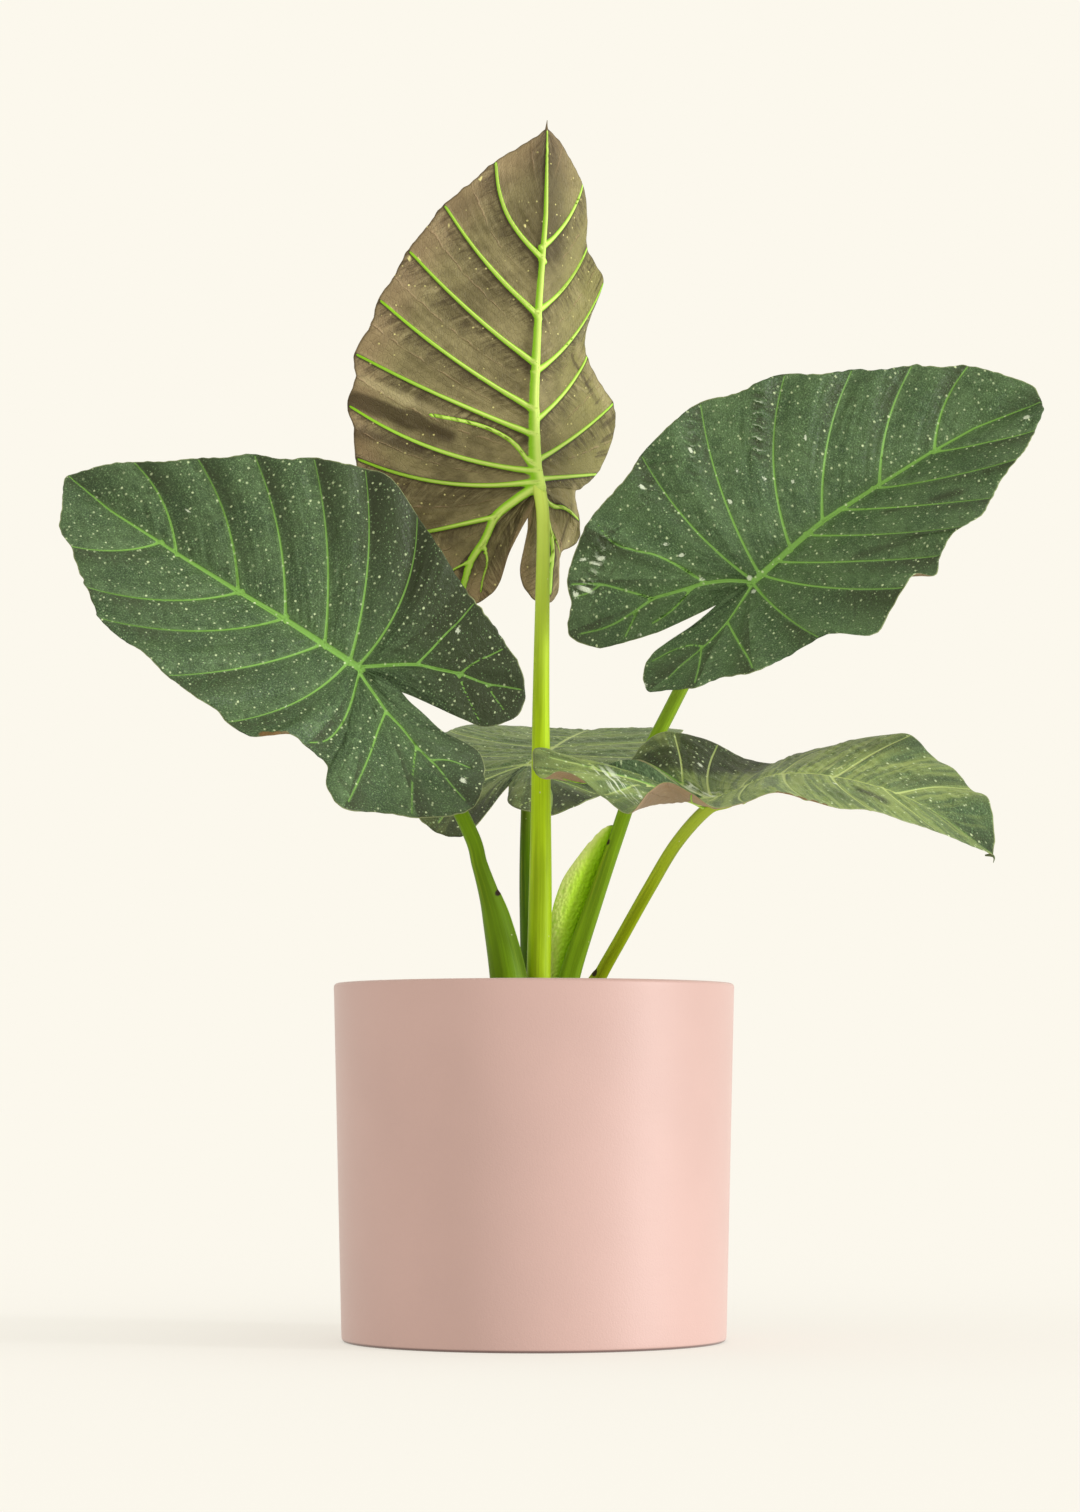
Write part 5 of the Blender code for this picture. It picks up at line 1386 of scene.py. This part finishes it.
def lump():
    """A ball of 42 points: the icosahedron with each edge halved and pushed out to the ball."""
    g = (1 + 5 ** 0.5) / 2
    p = np.array([(-1, g, 0), (1, g, 0), (-1, -g, 0), (1, -g, 0), (0, -1, g), (0, 1, g), (0, -1, -g),
                  (0, 1, -g), (g, 0, -1), (g, 0, 1), (-g, 0, -1), (-g, 0, 1)], float)
    f = np.array([(0, 11, 5), (0, 5, 1), (0, 1, 7), (0, 7, 10), (0, 10, 11), (1, 5, 9), (5, 11, 4),
                  (11, 10, 2), (10, 7, 6), (7, 1, 8), (3, 9, 4), (3, 4, 2), (3, 2, 6), (3, 6, 8),
                  (3, 8, 9), (4, 9, 5),
                  (2, 4, 11), (6, 2, 10), (8, 6, 7), (9, 8, 1)])
    ends = np.sort(np.concatenate([f[:, [0, 1]], f[:, [1, 2]], f[:, [2, 0]]]), 1)
    pairs, same = np.unique(ends, axis=0, return_inverse=True)
    ab, bc, ca = (same.reshape(3, -1) + len(p))
    points = np.concatenate([p, p[pairs].mean(1)])
    points /= np.linalg.norm(points, axis=1, keepdims=True)
    a, b, c = f.T
    faces = np.concatenate([np.stack(t, -1) for t in ((a, ab, ca), (b, bc, ab), (c, ca, bc), (ab, bc, ca))])
    return points, faces


class ALOCASIA_OT_crown(bpy.types.Operator):
    """Add the fibrous crown that the stalks rise from"""
    bl_idname = "alocasia.crown"
    bl_label = "Crown"

    def execute(self, context):
        look = context.scene.alocasia_soil
        x, y, faces = disc(CROWN_RADIUS, rings=56, sides=190)
        r, turn = np.hypot(x, y), np.arctan2(y, x)
        share = r / CROWN_RADIUS
        z = look.top / MM + 5.5 * (1 - share ** 3) - 1.2 * share ** 6
        green = np.zeros(len(x))
        for rows in STALKS.values():
            gap = np.hypot(x - rows[0][0], y - rows[0][1]) - rows[0][3]
            z += 1.3 * np.exp(-((gap - 1.6) / 1.5) ** 2) + 0.5 * np.exp(-((gap - 6.0) / 1.0) ** 2)
            green = np.maximum(green, smooth(gap, 5.0, 0.5))
        ribs = np.sin(turn * 46 + 2 * swell(x, y, 20, 22)) * smooth(r, 8, 30)
        z += 0.5 * swell(x, y, 12, 21) + 0.35 * ribs
        points, solid = slab(x, y, z, look.top / MM - CROWN_DEPTH, faces)
        flow = np.stack([turn * 26, r, 0 * r], -1)
        add_piece("stem_crown", ["stem_base"], points, solid, [crown_fibre(look)],
                  dict(green=np.tile(green, 2)), dict(grain=np.tile(flow, (2, 1))))
        return {"FINISHED"}


class ALOCASIA_OT_blades(bpy.types.Operator):
    """Add the five leaf blades with their ribs, veins and quilting"""
    bl_idname = "alocasia.blades"
    bl_label = "Leaf blades"

    def execute(self, context):
        look = context.scene.alocasia_leaf
        for name in BLADES:
            points, faces, upper, values, vectors = Blade(name, look).make()
            add_piece("leaf_" + name, ["blade_" + name], points, faces,
                      [lower_skin(look, name), upper_skin(look, name)], values, vectors, upper)
        return {"FINISHED"}


class ALOCASIA_OT_stalks(bpy.types.Operator):
    """Add the five stalks and the sheath beside the right leaf's stalk"""
    bl_idname = "alocasia.stalks"
    bl_label = "Stalks and sheath"

    def execute(self, context):
        look = context.scene.alocasia_leaf
        for name in STALKS:
            points, faces, values, vectors = stalk(name, look)
            tint = tuple(getattr(look, "stalk_" + name))
            add_piece("stalk_" + name, ["petiole_" + name], points, faces,
                      [stalk_skin(name, tint, look)], values, vectors)
        points, faces, values, vectors = sheath(look)
        add_piece("sheath_wing", ["sheath"], points, faces, [sheath_skin(look)], values, vectors)
        return {"FINISHED"}


class ALOCASIA_OT_stage(bpy.types.Operator):
    """Add the plain floor, the soft light and the camera"""
    bl_idname = "alocasia.stage"
    bl_label = "Floor, light and camera"

    def execute(self, context):
        look, scene = context.scene.alocasia_stage, context.scene
        seen = np.array(look.backdrop)
        world = bpy.data.worlds.new("studio")
        world.use_nodes = True
        world.node_tree.nodes["Background"].inputs["Color"].default_value = (*seen, 1)
        world.node_tree.nodes["Background"].inputs["Strength"].default_value = 1.0
        scene.world = world
        mesh = bpy.data.meshes.new("floor")
        r = FLOOR_REACH
        mesh.from_pydata([(-r, -r, 0), (r, -r, 0), (r, r, 0), (-r, r, 0)], [], [(0, 1, 2, 3)])
        floor = bpy.data.objects.new("floor", mesh)
        scene.collection.objects.link(floor)
        f = Finish("floor paint", Roughness=1.0, Specular_IOR_Level=0.0)
        lamps = (("side light", look.side, look.side_height, 12),
                 ("top light", look.top, look.top_height, 30))
        lit = seen / (seen + sum(power * math.sin(height) for _, power, height, _ in lamps) / math.pi)
        f.shader.inputs["Base Color"].default_value = (*(lit * (1 - look.glow)), 1)
        f.shader.inputs["Emission Color"].default_value = (*seen, 1)
        f.shader.inputs["Emission Strength"].default_value = look.glow
        mesh.materials.append(f.material)
        for name, power, height, spread in lamps:
            lamp = bpy.data.lights.new(name, "SUN")
            lamp.energy, lamp.angle = power, math.radians(spread)
            sun = bpy.data.objects.new(name, lamp)
            sun.rotation_euler = (math.pi / 2 - height, 0, look.heading)
            scene.collection.objects.link(sun)
        lens = bpy.data.cameras.new("camera")
        lens.sensor_width, lens.lens, lens.clip_end = 36.0, CAMERA_LENS, 100.0
        camera = bpy.data.objects.new("camera", lens)
        camera.location = CAMERA_PLACE
        camera.rotation_euler = (CAMERA_TURN, 0, 0)
        scene.collection.objects.link(camera)
        scene.camera = camera
        scene.view_settings.view_transform = "Standard"
        return {"FINISHED"}


class ALOCASIA_PT_panel(bpy.types.Panel):
    """Lists the pieces of the potted alocasia"""
    bl_idname = "ALOCASIA_PT_panel"
    bl_label = "Potted alocasia"
    bl_space_type = "VIEW_3D"
    bl_region_type = "UI"
    bl_category = "Alocasia"

    def draw(self, context):
        for owner, operators in PARTS:
            box = self.layout.box()
            for operator in operators:
                box.operator(operator.bl_idname)
            look = getattr(context.scene, owner)
            for key in look.bl_rna.properties.keys():
                if key not in {"rna_type", "name"}:
                    box.prop(look, key)


GROUPS = (("alocasia_pot", PotSizes), ("alocasia_soil", SoilLook), ("alocasia_leaf", LeafLook),
          ("alocasia_stage", StageLook))
PARTS = (("alocasia_pot", (ALOCASIA_OT_pot,)), ("alocasia_soil", (ALOCASIA_OT_soil, ALOCASIA_OT_crown)),
         ("alocasia_leaf", (ALOCASIA_OT_blades, ALOCASIA_OT_stalks)),
         ("alocasia_stage", (ALOCASIA_OT_stage,)))


def register():
    for owner, group in GROUPS:
        bpy.utils.register_class(group)
        setattr(bpy.types.Scene, owner, bpy.props.PointerProperty(type=group))
    for _, operators in PARTS:
        for operator in operators:
            bpy.utils.register_class(operator)
    bpy.utils.register_class(ALOCASIA_PT_panel)


def unregister():
    bpy.utils.unregister_class(ALOCASIA_PT_panel)
    for _, operators in PARTS:
        for operator in operators:
            bpy.utils.unregister_class(operator)
    for owner, group in GROUPS:
        delattr(bpy.types.Scene, owner)
        bpy.utils.unregister_class(group)


def main():
    register()
    bpy.ops.alocasia.stage()
    bpy.ops.alocasia.pot()
    bpy.ops.alocasia.soil()
    bpy.ops.alocasia.crown()
    bpy.ops.alocasia.blades()
    bpy.ops.alocasia.stalks()


if __name__ == "__main__":
    main()
